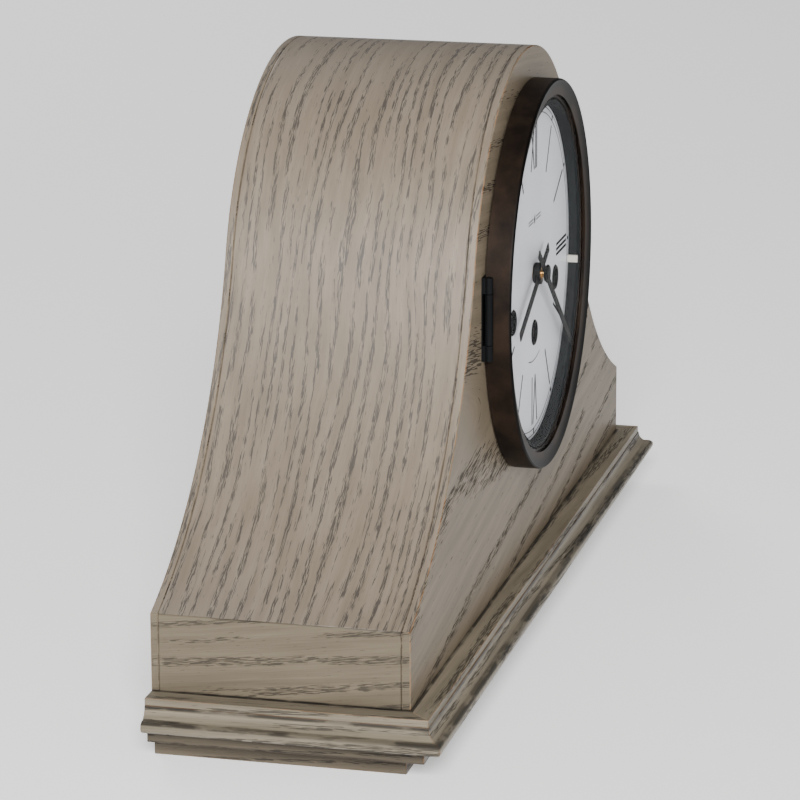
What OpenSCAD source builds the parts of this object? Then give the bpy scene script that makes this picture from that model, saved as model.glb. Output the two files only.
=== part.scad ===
// Tambour mantel clock with key-wound three-train movement.
// Origin: centre of the underside of the plinth. Front is -Y, up is +Z, millimetres.

/* [Case] */
// Width of the case between its two end faces
case_w = 445; // [371:1:534]
// Depth of the case from front face to back face
case_d = 112; // [93:1:135]
// Height of the dial centre above the table
dial_z = 163.8; // [136:0.1:190]
// Radius of the round crown over the dial
crown_r = 109; // [104:1:125]
// How far the crown's centre lies below the dial centre
crown_drop = 5.5; // [2:0.5:10]
// Radius of the hollow shoulders
flare_r = 200; // [170:1:240]
// Height of the end blocks
block_h = 34; // [26:1:41]
// Width of the end blocks, hidden inside
block_w = 30; // [20:1:40]
// Thickness of the front panel
panel_t = 4; // [3:0.1:5]
// Thickness of the back panel
back_t = 3.5; // [3:0.1:5]
// Thickness of the bent arch board
arch_t = 4; // [3:0.1:6]
// Thickness of the floor board
floor_t = 8; // [6:0.5:12]

/* [Base] */
// Height of the moulded strip under the case
mould_h = 14.2; // [11.8:0.1:17]
// How far the moulding's nose stands proud of the case
mould_out = 16.5; // [14:0.1:20]
// How far the moulding reaches in under the case
mould_in = 24; // [20:1:30]
// Height of the step under the moulding
step_h = 6; // [5:0.1:8]
// How far the step stands proud of the case
step_out = 7.5; // [6:0.1:9]
// Height of the plinth
plinth_h = 8.8; // [7:0.1:11]
// How far the plinth stands back from the case sides
plinth_in = 2.5; // [1:0.1:5]

/* [Dial and bezel] */
// Outer radius of the bezel
bezel_r = 89; // [75:0.1:107]
// How far the bezel stands in front of the case face
bezel_e = 12.7; // [12:0.1:15]
// Width of the rim from the bezel's outside to the edge of the dial that shows
rim_w = 11.6; // [10.8:0.1:13]
// Height of the dial face above the case face
dial_e = 3.7; // [3:0.1:4]
// Thickness of the dial
dial_t = 1; // [0.8:0.1:1.2]
// Radius of the winding holes in the dial
wind_hole_r = 5.6; // [4.6:0.1:8]
// Thickness of the bezel glass
glass_t = 1.2; // [1:0.1:1.4]
// Rise of the domed glass
dome_h = 3; // [2:0.1:5]
// Radius of the bezel hinge's barrel
barrel_r = 1.8; // [1.5:0.1:2]
// Height of the bezel hinge
hinge_h = 37.4; // [32:0.1:44]

/* [Hands] */
// Clockwise angle of the hour hand from twelve
hour_angle = 245; // [0:1:359]
// Clockwise angle of the minute hand from twelve
minute_angle = 128.5; // [0:0.5:359]
// Length of the hour hand from its axis
hour_len = 47; // [40:1:52]
// Gap from the minute hand's tip to the dial's edge
minute_gap = 4.4; // [3:0.1:8]
// Length of both hands' tails
tail_len = 20; // [15:1:24]
// Width of the hour hand
hour_w = 4.5; // [3.8:0.1:5.4]
// Width of the minute hand
minute_w = 3.8; // [3.2:0.1:4.6]

/* [Movement] */
// Width of the movement plates
plate_w = 142; // [138:1:146]
// Distance between the inner faces of the plates
plate_gap = 34.6; // [34.6:0.1:36]
// Thickness of the plates
plate_t = 1.5; // [1.2:0.1:2]
// Gap between the front panel's back and the front plate
bracket_t = 3; // [2.8:0.1:3.6]
// Sideways place of the outer winding arbors
wind_x = 45.5; // [45:0.1:47]
// Height of the outer winding arbors below the dial centre
wind_drop = 12.5; // [11:0.1:14]
// Height of the middle winding arbor below the dial centre
wind_mid = 28; // [27:0.1:29]
// Outer radius of the mainspring barrels
drum_r = 22; // [20:0.1:22.4]
// Length of the mainspring barrels
drum_len = 19; // [15.8:0.1:19]
// Radius of the hole in the front panel that the movement's arbors come through
hole_r = 66; // [60:0.5:68]
// Spacing of the chime rods and hammers
rod_pitch = 7; // [6:0.1:7.4]

/* [Hidden] */

$fn = 96;
oak = "#9f9484";
oak_end = "#8d8272";
bronze = "#2e2522";
brass = "#c49a5a";
steel = "#8f9398";
dark = "#24282e";

base_h = mould_h + step_h + plinth_h;
sight_r = bezel_r - rim_w;
minute_len = sight_r - minute_gap;
rod_count = 5;
half_w = case_w / 2;
half_d = case_d / 2;
block_top = base_h + block_h;
crown_c = [0, dial_z - crown_drop];
// Centre of the right-hand shoulder circle: it touches the crown and passes the block's corner
corner = [half_w, block_top];
reach = norm(corner - crown_c);
along = (pow(crown_r + flare_r, 2) - pow(flare_r, 2) + pow(reach, 2)) / (2 * reach);
across = sqrt(pow(crown_r + flare_r, 2) - pow(along, 2));
down_dir = (corner - crown_c) / reach;
flare_c = crown_c + along * down_dir + across * [-down_dir[1], down_dir[0]];
touch_dir = (flare_c - crown_c) / (crown_r + flare_r);

// Running fit between a turned pivot and its hole
run = 0.05;
// Layers of the movement, as distances in front of the case face (negative is inside)
front_e = -panel_t - bracket_t;
back_e = front_e - plate_t - plate_gap;
side_gear_e = front_e - plate_t - 3;
drum_e = side_gear_e - 3.5;
centre_gear_e = drum_e - drum_len - 2.2;
great_gear_e = centre_gear_e - 3.2;
third_gear_e = centre_gear_e + 7.6;
escape_e = third_gear_e + 6;
balance_e = escape_e + 6;
gear_t = 1.4;
end_play = 0.3;
pivot_r = 1;
arbor_r = 1.5;
// Barrel arbor
winder_r = 3;
square_w = 4.2;
ratchet_r = 8.4;
ratchet_e = front_e + 0.7;
click_gap = 0.4;

// Gear teeth: [share of the pitch filled at pitch line, at the tip, at the root, addendum, dedendum]
wheel_teeth = [0.40, 0.16, 0.52, 0.95, 1.4];
leaf_teeth = [0.36, 0.16, 0.36, 0.75, 1.45];
great_n = 72;
centre_leaf_n = 12;
great_m = 2 * wind_mid / (great_n + centre_leaf_n);
train_m = 0.5;
centre_n = 72;
third_leaf_n = 9;
third_n = 60;
escape_leaf_n = 8;
cannon_n = 12;
minute_n = 36;
minute_leaf_n = 10;
hour_n = 40;
motion_d = train_m * (cannon_n + minute_n) / 2;
hour_m = 2 * motion_d / (minute_leaf_n + hour_n);
side_m = 0.65;
side_leaf_n = 10;
drum_gear_n = 24;
third_angle = 60;
third_pos = train_m * (centre_n + third_leaf_n) / 2 * [cos(third_angle), sin(third_angle)];
escape_angle = 120;
escape_pos = third_pos
    + train_m * (third_n + escape_leaf_n) / 2 * [cos(escape_angle), sin(escape_angle)];
anchor_pos = escape_pos + [0, 13];
balance_pos = anchor_pos + [-21, -1.5];
going_pos = [0, -wind_mid];
strike_pos = [-wind_x, -wind_drop];
chime_pos = [wind_x, -wind_drop];
side_angle = 80;
side_reach = side_m * (great_n + side_leaf_n) / 2;
chime_wheel_pos = chime_pos + side_reach * [cos(side_angle), sin(side_angle)];
strike_wheel_pos = [-chime_wheel_pos[0], chime_wheel_pos[1]];
drum_gear_angle = 235;
drum_gear_reach = side_m * (great_n + drum_gear_n) / 2;
chime_drum_pos = chime_pos + drum_gear_reach * [cos(drum_gear_angle), sin(drum_gear_angle)];

plate_low = -57;
plate_high = 60;
pillar_r = 3;
pillar_pos = [[-60, -48], [60, -48], [-60, 50], [60, 50]];

// Chimes behind the movement
rod_z = -86;
rod_r = 1.2;
rod_e = back_e - plate_t - 9.5;
rail_pos = [6, -58];
rail_r = 1.6;
drum_pin_r = 10.2;
head_x = -55;
rods_len = 176;
block_x = -88;

// Bezel hinge axis
hinge_x = -(bezel_r + barrel_r + 0.2);
hinge_e = 3;
knuckle_split = 11.5;
wall_t = 1.9;
wall_top = 9;
retainer_in = sight_r + wall_t + 0.9;
glass_r = bezel_r - 6;
glass_e = wall_top + 0.2;

// Back door
door_w = 160;
door_low = base_h + 19;
door_high = dial_z + 40;
door_gap = 0.8;
door_axis = [-door_w / 2 - 1.5, half_d + 1.6];
door_knuckle_r = 1.5;

// Plane a distance e in front of the case face
function face(e) = -half_d - e;

module wood(tone = oak) { color(tone) children(); }

// Stands a flat shape up facing forward, its back at distance e before the case face
module facing(e, pos = [0, 0]) {
    translate([pos[0], face(e), dial_z + pos[1]]) rotate([90, 0, 0]) children();
}

// ---------- Case ----------

// Front outline of the case, moved inward by inset along the arch
module outline(inset = 0) {
    touch = crown_c + (crown_r - inset) * touch_dir;
    difference() {
        union() {
            intersection() {
                translate(crown_c) circle(r = crown_r - inset, $fn = 180);
                translate([-crown_r, base_h]) square([2 * crown_r, dial_z + crown_r]);
            }
            polygon([[-half_w, base_h], [half_w, base_h], corner, touch,
                [-touch[0], touch[1]], [-half_w, block_top]]);
        }
        for (side = [-1, 1])
            translate([side * flare_c[0], flare_c[1]]) circle(r = flare_r + inset, $fn = 240);
    }
}

// Stands the case outline up between two depths
module upright(from_y, to_y) {
    translate([0, to_y, 0]) rotate([90, 0, 0]) linear_extrude(to_y - from_y) children();
}

module front_panel() {
    wood() difference() {
        upright(-half_d, -half_d + panel_t) outline();
        translate([0, -half_d - 1, dial_z]) rotate([-90, 0, 0])
            cylinder(r = hole_r, h = panel_t + 2);
    }
}

module door_opening(grow = 0) {
    translate([-door_w / 2 - grow, door_low - grow])
        square([door_w + 2 * grow, door_high - door_low + 2 * grow]);
}

module back_panel() {
    wood() upright(half_d - back_t, half_d) difference() {
        outline();
        door_opening();
    }
}

module arch_top() {
    wood() upright(-half_d + panel_t, half_d - back_t) intersection() {
        difference() {
            outline();
            outline(arch_t);
        }
        translate([-half_w, block_top]) square([case_w, dial_z + crown_r]);
    }
}

module end_block(side) {
    wood(oak_end) translate([side > 0 ? half_w - block_w : -half_w, -half_d + panel_t, base_h])
        cube([block_w, case_d - panel_t - back_t, block_h]);
}

module end_block_left() { end_block(-1); }
module end_block_right() { end_block(1); }

module floor_board() {
    wood() translate([-half_w + block_w, -half_d + panel_t, base_h])
        cube([case_w - 2 * block_w, case_d - panel_t - back_t, floor_t]);
}

// ---------- Base ----------

nose_r = 2.6;
fillet_z = 3.2;
nose_z = nose_r + 0.5 - mould_h;
cove_r = -nose_z - fillet_z - 1.9;
cove_out = mould_out - 0.4;

// Section of the moulding: x is the distance out from the case, y the height from the case bottom
module mould_section() {
    difference() {
        union() {
            translate([-mould_in, -mould_h]) square([mould_in + step_out, mould_h]);
            translate([0, -fillet_z]) square([cove_out - cove_r - 0.4, fillet_z]);
            translate([0, nose_z - nose_r]) square([mould_out - nose_r, -fillet_z - nose_z + nose_r]);
            translate([mould_out - nose_r, nose_z]) circle(r = nose_r, $fn = 48);
        }
        translate([cove_out, -fillet_z]) circle(r = cove_r, $fn = 72);
    }
}

// Moulding strip of the given half length along X with its front nose towards -Y
module strip(half_len) {
    translate([-half_len, 0, base_h]) rotate([90, 0, 90])
        linear_extrude(2 * half_len) mirror([1, 0]) mould_section();
}

// Half plane used to cut the mitres: everything in front of the 45 degree line at a front corner
module mitre(side) {
    far = 3 * mould_in + case_w;
    translate([side * half_w, -half_d, 0]) linear_extrude(base_h + 1)
        polygon([[side * -far, -far], [side * far, -far], [side * -far, far]]);
}

module moulding_front() {
    wood() intersection() {
        translate([0, -half_d, 0]) strip(half_w + mould_out + 1);
        mitre(1);
        mitre(-1);
    }
}

module moulding_side(side) {
    far = mould_out + 1;
    wood() difference() {
        intersection() {
            translate([side * half_w, 0, 0]) rotate([0, 0, side * 90]) strip(half_d + far);
            translate([-case_w, -case_d, 0]) cube([2 * case_w, case_d + half_d, base_h]);
        }
        mitre(side);
    }
}

module moulding_left() { moulding_side(-1); }
module moulding_right() { moulding_side(1); }

rail_t = 20;

// Plain strip that closes the base at the back
module base_rail() {
    wood(oak_end) translate([-half_w + mould_in, half_d - rail_t, base_h - mould_h])
        cube([case_w - 2 * mould_in, rail_t, mould_h]);
}

module plinth_board() {
    wood(oak_end) {
        translate([-half_w - step_out, -half_d - step_out, plinth_h])
            cube([case_w + 2 * step_out, case_d + step_out, step_h]);
        translate([-half_w + plinth_in, -half_d + plinth_in, 0])
            cube([case_w - 2 * plinth_in, case_d - plinth_in, plinth_h]);
    }
}

// ---------- Dial ----------

pan_in = hole_r - 2;
pan_out = bezel_r - 3;

module dial_pan() {
    color(brass) facing(0) difference() {
        union() {
            cylinder(r = pan_out, h = 1);
            cylinder(r = sight_r + wall_t + 0.4, h = dial_e - dial_t);
        }
        translate([0, 0, -1]) cylinder(r = pan_in, h = bezel_e);
        bezel_hinge_notch();
    }
}

// Room for the fixed hinge leaf in the pan's edge
module bezel_hinge_notch() {
    translate([-pan_out - 1, -knuckle_top, -1]) cube([leaf_in + 1, 2 * knuckle_top, 3]);
}

knuckle_top = hinge_h / 2;
leaf_in = 3;
leaf_t = 0.4;

module dial_plate() {
    color("#d4d5da") facing(dial_e - dial_t) linear_extrude(dial_t) difference() {
        circle(r = sight_r + wall_t, $fn = 180);
        circle(r = 4.6);
        for (pos = [going_pos, strike_pos, chime_pos]) translate(pos) circle(r = wind_hole_r);
    }
}

print_t = 0.08;
stroke_in = sight_r - 28.9;
stroke_out = sight_r - 6.4;
stroke_w = 1.3;
stroke_gap = 2.4;

// One bar of a numeral, slanting from its foot to its head
module bar(foot, head) {
    lean = atan2(head - foot, stroke_out - stroke_in);
    long = norm([head - foot, stroke_out - stroke_in]);
    translate([foot, stroke_in]) rotate(-lean) translate([-stroke_w / 2, 0]) square([stroke_w, long]);
}

module letter_i(x) { bar(x, x); }
module letter_v(x) {
    bar(x, x - 1.7 * stroke_gap);
    bar(x, x + 1.7 * stroke_gap);
}
module letter_x(x) {
    bar(x - 1.4 * stroke_gap, x + 1.4 * stroke_gap);
    bar(x + 1.4 * stroke_gap, x - 1.4 * stroke_gap);
}

// Marks for hour h: numerals at the quarters, single bars between
module hour_mark(h) {
    if (h == 0) {
        letter_x(-2 * stroke_gap);
        for (i = [0.5, 1.5]) letter_i(i * stroke_gap);
    } else if (h == 3) {
        for (i = [-1:1]) letter_i(i * stroke_gap);
    } else if (h == 6) {
        letter_v(-1.1 * stroke_gap);
        letter_i(1.6 * stroke_gap);
    } else if (h == 9) {
        letter_i(-2.2 * stroke_gap);
        letter_x(0.8 * stroke_gap);
    } else {
        letter_i(0);
    }
}

track_r = [sight_r - 4, sight_r - 1.4];
track_w = 0.35;

module ring(r, w) {
    difference() {
        circle(r = r + w / 2, $fn = 180);
        circle(r = r - w / 2, $fn = 180);
    }
}

module dial_print() {
    color("#2b2f38") facing(dial_e) linear_extrude(print_t) {
        for (h = [0:11]) rotate(-30 * h) hour_mark(h);
        for (r = track_r) ring(r, track_w);
        for (h = [0:11]) rotate(-30 * h)
            translate([0, (track_r[0] + track_r[1]) / 2]) square([1.5, track_r[1] - track_r[0]], center = true);
    }
}

module dial_wall() {
    color("#2b3438") facing(dial_e) linear_extrude(wall_top - dial_e) difference() {
        circle(r = sight_r + wall_t, $fn = 180);
        circle(r = sight_r, $fn = 180);
    }
}

catch_drop = 10.2;

module bezel_catch() {
    color("#b9b7b2") facing(dial_e + print_t, [sight_r - 2.8, -catch_drop]) {
        translate([0, -1.65, 0]) cube([1.7, 3.3, 4.7]);
    }
}

// ---------- Bezel and its hinge ----------

// Bezel section: x is the radius, y the distance in front of the case face
module bezel_section() {
    lip_r = bezel_r - 7.5;
    skirt_r = bezel_r - 2.4;
    dish_r = 24;
    bead = 1.5;
    difference() {
        union() {
            translate([lip_r, 0.7]) square([bezel_r - lip_r, bezel_e - 0.7 - bead]);
            translate([lip_r, 0.7]) square([bezel_r - bead - lip_r, bezel_e - 0.7]);
            translate([bezel_r - bead, bezel_e - bead]) circle(r = bead, $fn = 48);
        }
        // Hollow dish of the front face
        translate([lip_r - 2, bezel_e - 1.9 + dish_r]) circle(r = dish_r, $fn = 144);
        // Seat of the glass and of its retainer
        translate([lip_r - 1, retainer_e]) square([glass_r + 0.2 - lip_r + 1, glass_e + glass_t - retainer_e]);
        // Room for the pan below
        translate([lip_r - 1, 0]) square([skirt_r - lip_r + 1, retainer_e]);
    }
}

retainer_e = wall_top - 1.8;

module bezel_ring() {
    color(bronze) difference() {
        facing(0) rotate_extrude($fn = 180) bezel_section();
        leaf_block();
    }
}

module bezel_glass() {
    dome_r = (pow(glass_r, 2) + pow(dome_h, 2)) / (2 * dome_h);
    color("#dfe8ea", 0.3) facing(glass_e) rotate_extrude($fn = 180) dome_section(dome_r);
}

// Half section of the domed glass, with a flat rim
module dome_section(dome_r) {
    steps = 16;
    rim = 2;
    curved = glass_r - rim;
    function rise(r) = sqrt(pow(dome_r, 2) - pow(r, 2)) - sqrt(pow(dome_r, 2) - pow(curved, 2));
    polygon(concat(
        [for (i = [0:steps]) [curved * i / steps, rise(curved * i / steps)]],
        [[glass_r, 0], [glass_r, glass_t]],
        [for (i = [steps:-1:0]) [curved * i / steps, rise(curved * i / steps) + glass_t]]));
}

module glass_retainer() {
    color("#1f2224") facing(retainer_e + 0.1) linear_extrude(glass_e - retainer_e - 0.1) difference() {
        circle(r = glass_r + 0.1, $fn = 180);
        circle(r = retainer_in, $fn = 180);
    }
}

// Hinge barrel between two heights about the dial centre
module knuckle(low, high, r) {
    translate([hinge_x, face(hinge_e), dial_z + low]) cylinder(r = r, h = high - low);
}

hinge_pin_r = 0.7;
// Clearance at each end of the moving knuckle
knuckle_gap = 0.15;

module hinge_leaf_case() {
    long = knuckle_top - knuckle_split - knuckle_gap;
    color("#1b1b1c") {
        for (low = [-knuckle_top, knuckle_split + knuckle_gap]) {
            knuckle(low, low + long, barrel_r);
            translate([hinge_x - 1.3, face(hinge_e), dial_z + low]) cube([2.3, hinge_e, long]);
        }
        translate([hinge_x - 1.3, face(leaf_t), dial_z - knuckle_top])
            cube([1.3 - hinge_x - pan_out + leaf_in - 0.3, leaf_t, 2 * knuckle_top]);
        knuckle(-knuckle_top - 0.4, knuckle_top + 0.4, hinge_pin_r);
    }
}

// Web that joins the moving knuckle to the bezel, let into the bezel's side
module leaf_block() {
    translate([hinge_x, face(hinge_e + 1.5), dial_z - 8])
        cube([-hinge_x - bezel_r + 2.2, 3, 16]);
}

module hinge_leaf_bezel() {
    color("#1b1b1c") difference() {
        union() {
            knuckle(-knuckle_split + knuckle_gap, knuckle_split - knuckle_gap, barrel_r);
            leaf_block();
        }
        knuckle(-knuckle_split - 1, knuckle_split + 1, hinge_pin_r + run);
    }
}

// ---------- Back door ----------

module back_door() {
    wood() upright(half_d - back_t, half_d) difference() {
        door_opening(-door_gap);
        translate(latch_pos) circle(r = latch_r + run);
    }
}

latch_pos = [door_w / 2 - 14, (door_low + door_high) / 2];
latch_r = 4;

module door_latch() {
    color(brass) {
        translate([latch_pos[0], half_d + 1.4, latch_pos[1]]) rotate([90, 0, 0])
            cylinder(r = latch_r, h = back_t + 1.4 + 0.5);
        translate([latch_pos[0], half_d + 1.4, latch_pos[1]]) rotate([90, 0, 0])
            cylinder(r = latch_r + 2.5, h = 1.2);
        translate([latch_pos[0] - 5, half_d - back_t - 2, latch_pos[1] - 5]) cube([10, 1.5, 27]);
    }
}

hinge_heights = [door_low + 28, door_high - 28];
strap_h = 24;

module door_knuckle(z, h, r) {
    translate([door_axis[0], door_axis[1], z]) cylinder(r = r, h = h);
}

module door_hinge_case() {
    third = strap_h / 3;
    color(brass) for (z = hinge_heights) {
        for (low = [z - strap_h / 2, z + third / 2 + 0.1]) {
            door_knuckle(low, third - 0.1, door_knuckle_r);
            translate([door_axis[0] - 9, half_d, low]) cube([9, 0.9, third - 0.1]);
        }
        door_knuckle(z - strap_h / 2 - 0.5, strap_h + 1, 0.7);
    }
}

module door_hinge_leaf() {
    third = strap_h / 3;
    color(brass) for (z = hinge_heights) difference() {
        union() {
            door_knuckle(z - third / 2 + 0.1, third - 0.2, door_knuckle_r);
            translate([door_axis[0], half_d, z - third / 2 + 0.1]) cube([11, 0.9, third - 0.2]);
        }
        door_knuckle(z - strap_h, 2 * strap_h, 0.7 + run);
    }
}

// ---------- Hands ----------

hour_e = 6.3;
minute_e = 9;
hand_t = 0.45;
nut_r = 4.2;
cannon_r = 1.95;
cannon_top = minute_e - 0.4;
pipe_r = 3.2;
centre_r = 1.25;

module baton(len, tail, w, angle) {
    rotate(-angle) translate([-w / 2, -tail]) square([w, len + tail]);
}

module hour_hand() {
    color(dark) facing(hour_e) difference() {
        union() {
            linear_extrude(hand_t) baton(hour_len, tail_len, hour_w, hour_angle);
            translate([0, 0, -0.4]) cylinder(r = 5, h = hand_t + 0.8);
        }
        translate([0, 0, -2]) cylinder(r = pipe_r, h = 5);
    }
}

module minute_hand() {
    color(dark) facing(minute_e) difference() {
        union() {
            linear_extrude(hand_t) baton(minute_len, tail_len, minute_w, minute_angle);
            translate([0, 0, -0.2]) cylinder(r = 3.6, h = hand_t + 0.3);
        }
        translate([0, 0, -2]) cylinder(r = centre_r, h = 5);
    }
}

module hand_nut() {
    color(dark) facing(minute_e + hand_t + 0.1) rotate_extrude()
        polygon([[0, 0], [nut_r, 0], [nut_r, 0.6], [nut_r - 0.7, 1.15], [0, 1.25]]);
}

// ---------- Wheels ----------

// Flat gear with one tooth centred on the given angle
module gear(n, m, teeth, angle = 0) {
    pitch_r = n * m / 2;
    tip_r = pitch_r + teeth[3] * m;
    root_r = pitch_r - teeth[4] * m;
    corners = [[-teeth[2], root_r], [-teeth[0], pitch_r], [-teeth[1], tip_r],
        [teeth[1], tip_r], [teeth[0], pitch_r], [teeth[2], root_r]];
    polygon([for (i = [0:n - 1], c = corners)
        let (a = angle + (i + c[0] / 2) * 360 / n) c[1] * [cos(a), sin(a)]]);
}

// Wheel with a rim, crossings and a bored hub
module wheel(n, m, angle, bore, spokes = 5) {
    rim_r = n * m / 2 - wheel_teeth[4] * m - 1.6;
    hub_r = max(bore + 2, 4);
    linear_extrude(gear_t) difference() {
        gear(n, m, wheel_teeth, angle);
        if (spokes > 0) difference() {
            circle(r = rim_r);
            circle(r = hub_r);
            for (i = [0:spokes - 1]) rotate(i * 360 / spokes)
                translate([0, -0.9]) square([rim_r + 1, 1.8]);
        }
        circle(r = bore);
    }
}

// Pinion with a gap facing the given angle
module pinion(n, m, angle, t) {
    linear_extrude(t) gear(n, m, leaf_teeth, angle + 180 / n);
}

// Arbor between the plates with a pivot at each end
module arbor(pos, back_reach = 0) {
    facing(back_e, pos) {
        translate([0, 0, end_play]) cylinder(r = arbor_r, h = plate_gap - 2 * end_play);
        translate([0, 0, -plate_t - back_reach])
            cylinder(r = pivot_r, h = plate_gap + 2 * plate_t + back_reach);
    }
}

// Angle of the line from one axis to another
function bearing(from, to) = atan2(to[1] - from[1], to[0] - from[0]);

// ---------- Movement frame ----------

pivots = [third_pos, escape_pos, anchor_pos, balance_pos, strike_wheel_pos, chime_wheel_pos,
    chime_drum_pos];
winders = [going_pos, strike_pos, chime_pos];
minute_pos = [motion_d, 0];
stud_r = 1;

module plate() {
    difference() {
        translate([-plate_w / 2, plate_low]) square([plate_w, plate_high - plate_low]);
        for (pos = pivots) translate(pos) circle(r = pivot_r + run);
        for (pos = winders) translate(pos) circle(r = winder_r + run);
        circle(r = centre_r + run);
    }
}

// Clicks stand beside their ratchets: [pivot angle seen from the winder]
click_angle = 115;
click_reach = ratchet_r + click_gap + 4.2;
function click_pos(winder) = winder + click_reach * [cos(click_angle), sin(click_angle)];

module front_plate() {
    color(brass) {
        facing(front_e - plate_t) linear_extrude(plate_t) difference() {
            plate();
            for (pos = bracket_pos) translate(pos) circle(r = screw_r);
        }
        facing(front_e) {
            translate(minute_pos) cylinder(r = stud_r, h = 6.2);
            for (pos = winders) translate(click_pos(pos)) cylinder(r = stud_r, h = 2.4);
        }
    }
}

module back_plate() {
    color(brass) facing(back_e - plate_t) linear_extrude(plate_t) difference() {
        plate();
        translate(rail_pos) circle(r = rail_r);
    }
}

module pillars() {
    color(brass) for (pos = pillar_pos) facing(back_e, pos) {
        cylinder(r = pillar_r, h = plate_gap);
    }
}

bracket_pos = [[-61, -40], [61, -40], [-61, 42], [61, 42]];
bracket_w = 13;
screw_r = 1.5;

module movement_brackets() {
    color(steel) facing(front_e) linear_extrude(bracket_t) for (pos = bracket_pos)
        translate(pos) difference() {
            square(bracket_w, center = true);
            circle(r = screw_r);
        }
}

module movement_screws() {
    color(steel) facing(front_e - plate_t) for (pos = bracket_pos) translate(pos) {
        cylinder(r = screw_r, h = plate_t + bracket_t);
        translate([0, 0, -1.4]) cylinder(r = 2.8, h = 1.4);
    }
}

// ---------- Going train and motion work ----------

module centre_arbor() {
    color(brass) {
        facing(centre_gear_e) wheel(centre_n, train_m, third_angle, 1);
        facing(great_gear_e - 0.4)
            pinion(centre_leaf_n, great_m, -90, gear_t + 1);
        facing(back_e) {
            translate([0, 0, end_play]) cylinder(r = 2.4, h = 1);
            translate([0, 0, -plate_t])
                cylinder(r = centre_r, h = minute_e + hand_t + 0.1 - back_e + plate_t);
        }
        facing(great_gear_e + gear_t + 0.6) cylinder(r = 2.4, h = centre_gear_e - great_gear_e - gear_t);
    }
}

module cannon_pinion() {
    color(steel) facing(ratchet_e) difference() {
        union() {
            pinion(cannon_n, train_m, 0, 2.2);
            cylinder(r = cannon_r, h = cannon_top - ratchet_e);
        }
        translate([0, 0, -1]) cylinder(r = centre_r, h = 30);
    }
}

minute_wheel_e = ratchet_e + 0.4;
hour_wheel_e = minute_wheel_e + 2.4;

module hour_wheel() {
    color(brass) facing(hour_wheel_e) difference() {
        union() {
            linear_extrude(1.1) gear(hour_n, hour_m, wheel_teeth, 0);
            cylinder(r = pipe_r, h = hour_e + hand_t + 0.6 - hour_wheel_e);
        }
        translate([0, 0, -1]) cylinder(r = cannon_r + run, h = 30);
    }
}

module minute_wheel() {
    color(brass) facing(minute_wheel_e, minute_pos) difference() {
        union() {
            linear_extrude(1.2) gear(minute_n, train_m, wheel_teeth, 180);
            translate([0, 0, 1.2]) pinion(minute_leaf_n, hour_m, 180, 2.4);
        }
        translate([0, 0, -1]) cylinder(r = stud_r + run, h = 9);
    }
}

// Mainspring barrel: a drum with a cap, bored for its arbor, and its great wheel
module barrel(pos, gear_e, m, angle) {
    wall = 1.2;
    boss_low = gear_e < drum_e - drum_len ? gear_e + gear_t : drum_e;
    boss_high = gear_e < drum_e - drum_len ? drum_e - drum_len : gear_e;
    color(brass) {
        facing(drum_e - drum_len, pos) difference() {
            cylinder(r = drum_r, h = drum_len);
            translate([0, 0, wall]) cylinder(r = drum_r - wall, h = drum_len - 2 * wall);
            translate([0, 0, -1]) cylinder(r = winder_r + run, h = drum_len + 2);
        }
        facing(gear_e, pos) linear_extrude(gear_t) difference() {
            gear(great_n, m, wheel_teeth, angle);
            circle(r = winder_r + run);
        }
        // Boss between the drum and the great wheel
        facing(boss_low, pos) difference() {
            cylinder(r = 7, h = boss_high - boss_low);
            translate([0, 0, -1]) cylinder(r = winder_r + run, h = boss_high - boss_low + 2);
        }
    }
}

module going_barrel() { barrel(going_pos, great_gear_e, great_m, 90); }
module strike_barrel() {
    barrel(strike_pos, side_gear_e, side_m, bearing(strike_pos, strike_wheel_pos));
}
module chime_barrel() {
    barrel(chime_pos, side_gear_e, side_m, bearing(chime_pos, chime_wheel_pos));
}

module third_wheel() {
    color(brass) {
        arbor(third_pos);
        facing(centre_gear_e - 0.5, third_pos)
            pinion(third_leaf_n, train_m, third_angle + 180, gear_t + 1);
        facing(third_gear_e, third_pos) wheel(third_n, train_m, escape_angle, 1);
    }
}

module escape_wheel() {
    count = 15;
    tip_r = 9;
    color(brass) {
        arbor(escape_pos);
        facing(third_gear_e - 0.5, escape_pos)
            pinion(escape_leaf_n, train_m, escape_angle + 180, gear_t + 1);
        facing(escape_e, escape_pos) linear_extrude(1) difference() {
            polygon([for (i = [0:count - 1], c = [[0, 6.6], [0.12, tip_r], [0.2, tip_r], [0.55, 6.6]])
                let (a = (i + c[0]) * 360 / count) c[1] * [cos(a), sin(a)]]);
            circle(r = 1);
        }
    }
}

module anchor() {
    arm_angle = bearing(anchor_pos, balance_pos);
    color(steel) {
        arbor(anchor_pos);
        facing(escape_e, anchor_pos) linear_extrude(1) difference() {
            union() {
                circle(r = 2.6);
                for (side = [-1, 1]) {
                    polygon([[0, 1.5], [side * 8.4, -3.2], [side * 8.9, -5.6], [side * 7.4, -5.6],
                        [side * 7, -4], [0, -1.5]]);
                }
            }
            circle(r = 1);
        }
        facing(escape_e + 2, anchor_pos) linear_extrude(1) difference() {
            rotate(arm_angle) union() {
                circle(r = 2.2);
                translate([0, -0.8]) square([14, 1.6]);
            }
            circle(r = 1);
        }
    }
}

module balance_wheel() {
    color(brass) {
        arbor(balance_pos);
        facing(balance_e, balance_pos) linear_extrude(1.4) difference() {
            circle(r = 11);
            difference() {
                circle(r = 9.6);
                translate([-10, -0.9]) square([20, 1.8]);
                circle(r = 2.4);
            }
            circle(r = 1);
        }
    }
}

// ---------- Striking and chiming ----------

module second_wheel(pos, barrel_pos) {
    color(brass) {
        arbor(pos);
        facing(side_gear_e - 0.5, pos)
            pinion(side_leaf_n, side_m, bearing(pos, barrel_pos), gear_t + 1);
        facing(great_gear_e, pos) wheel(third_n, train_m, 0, 1);
    }
}

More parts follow.
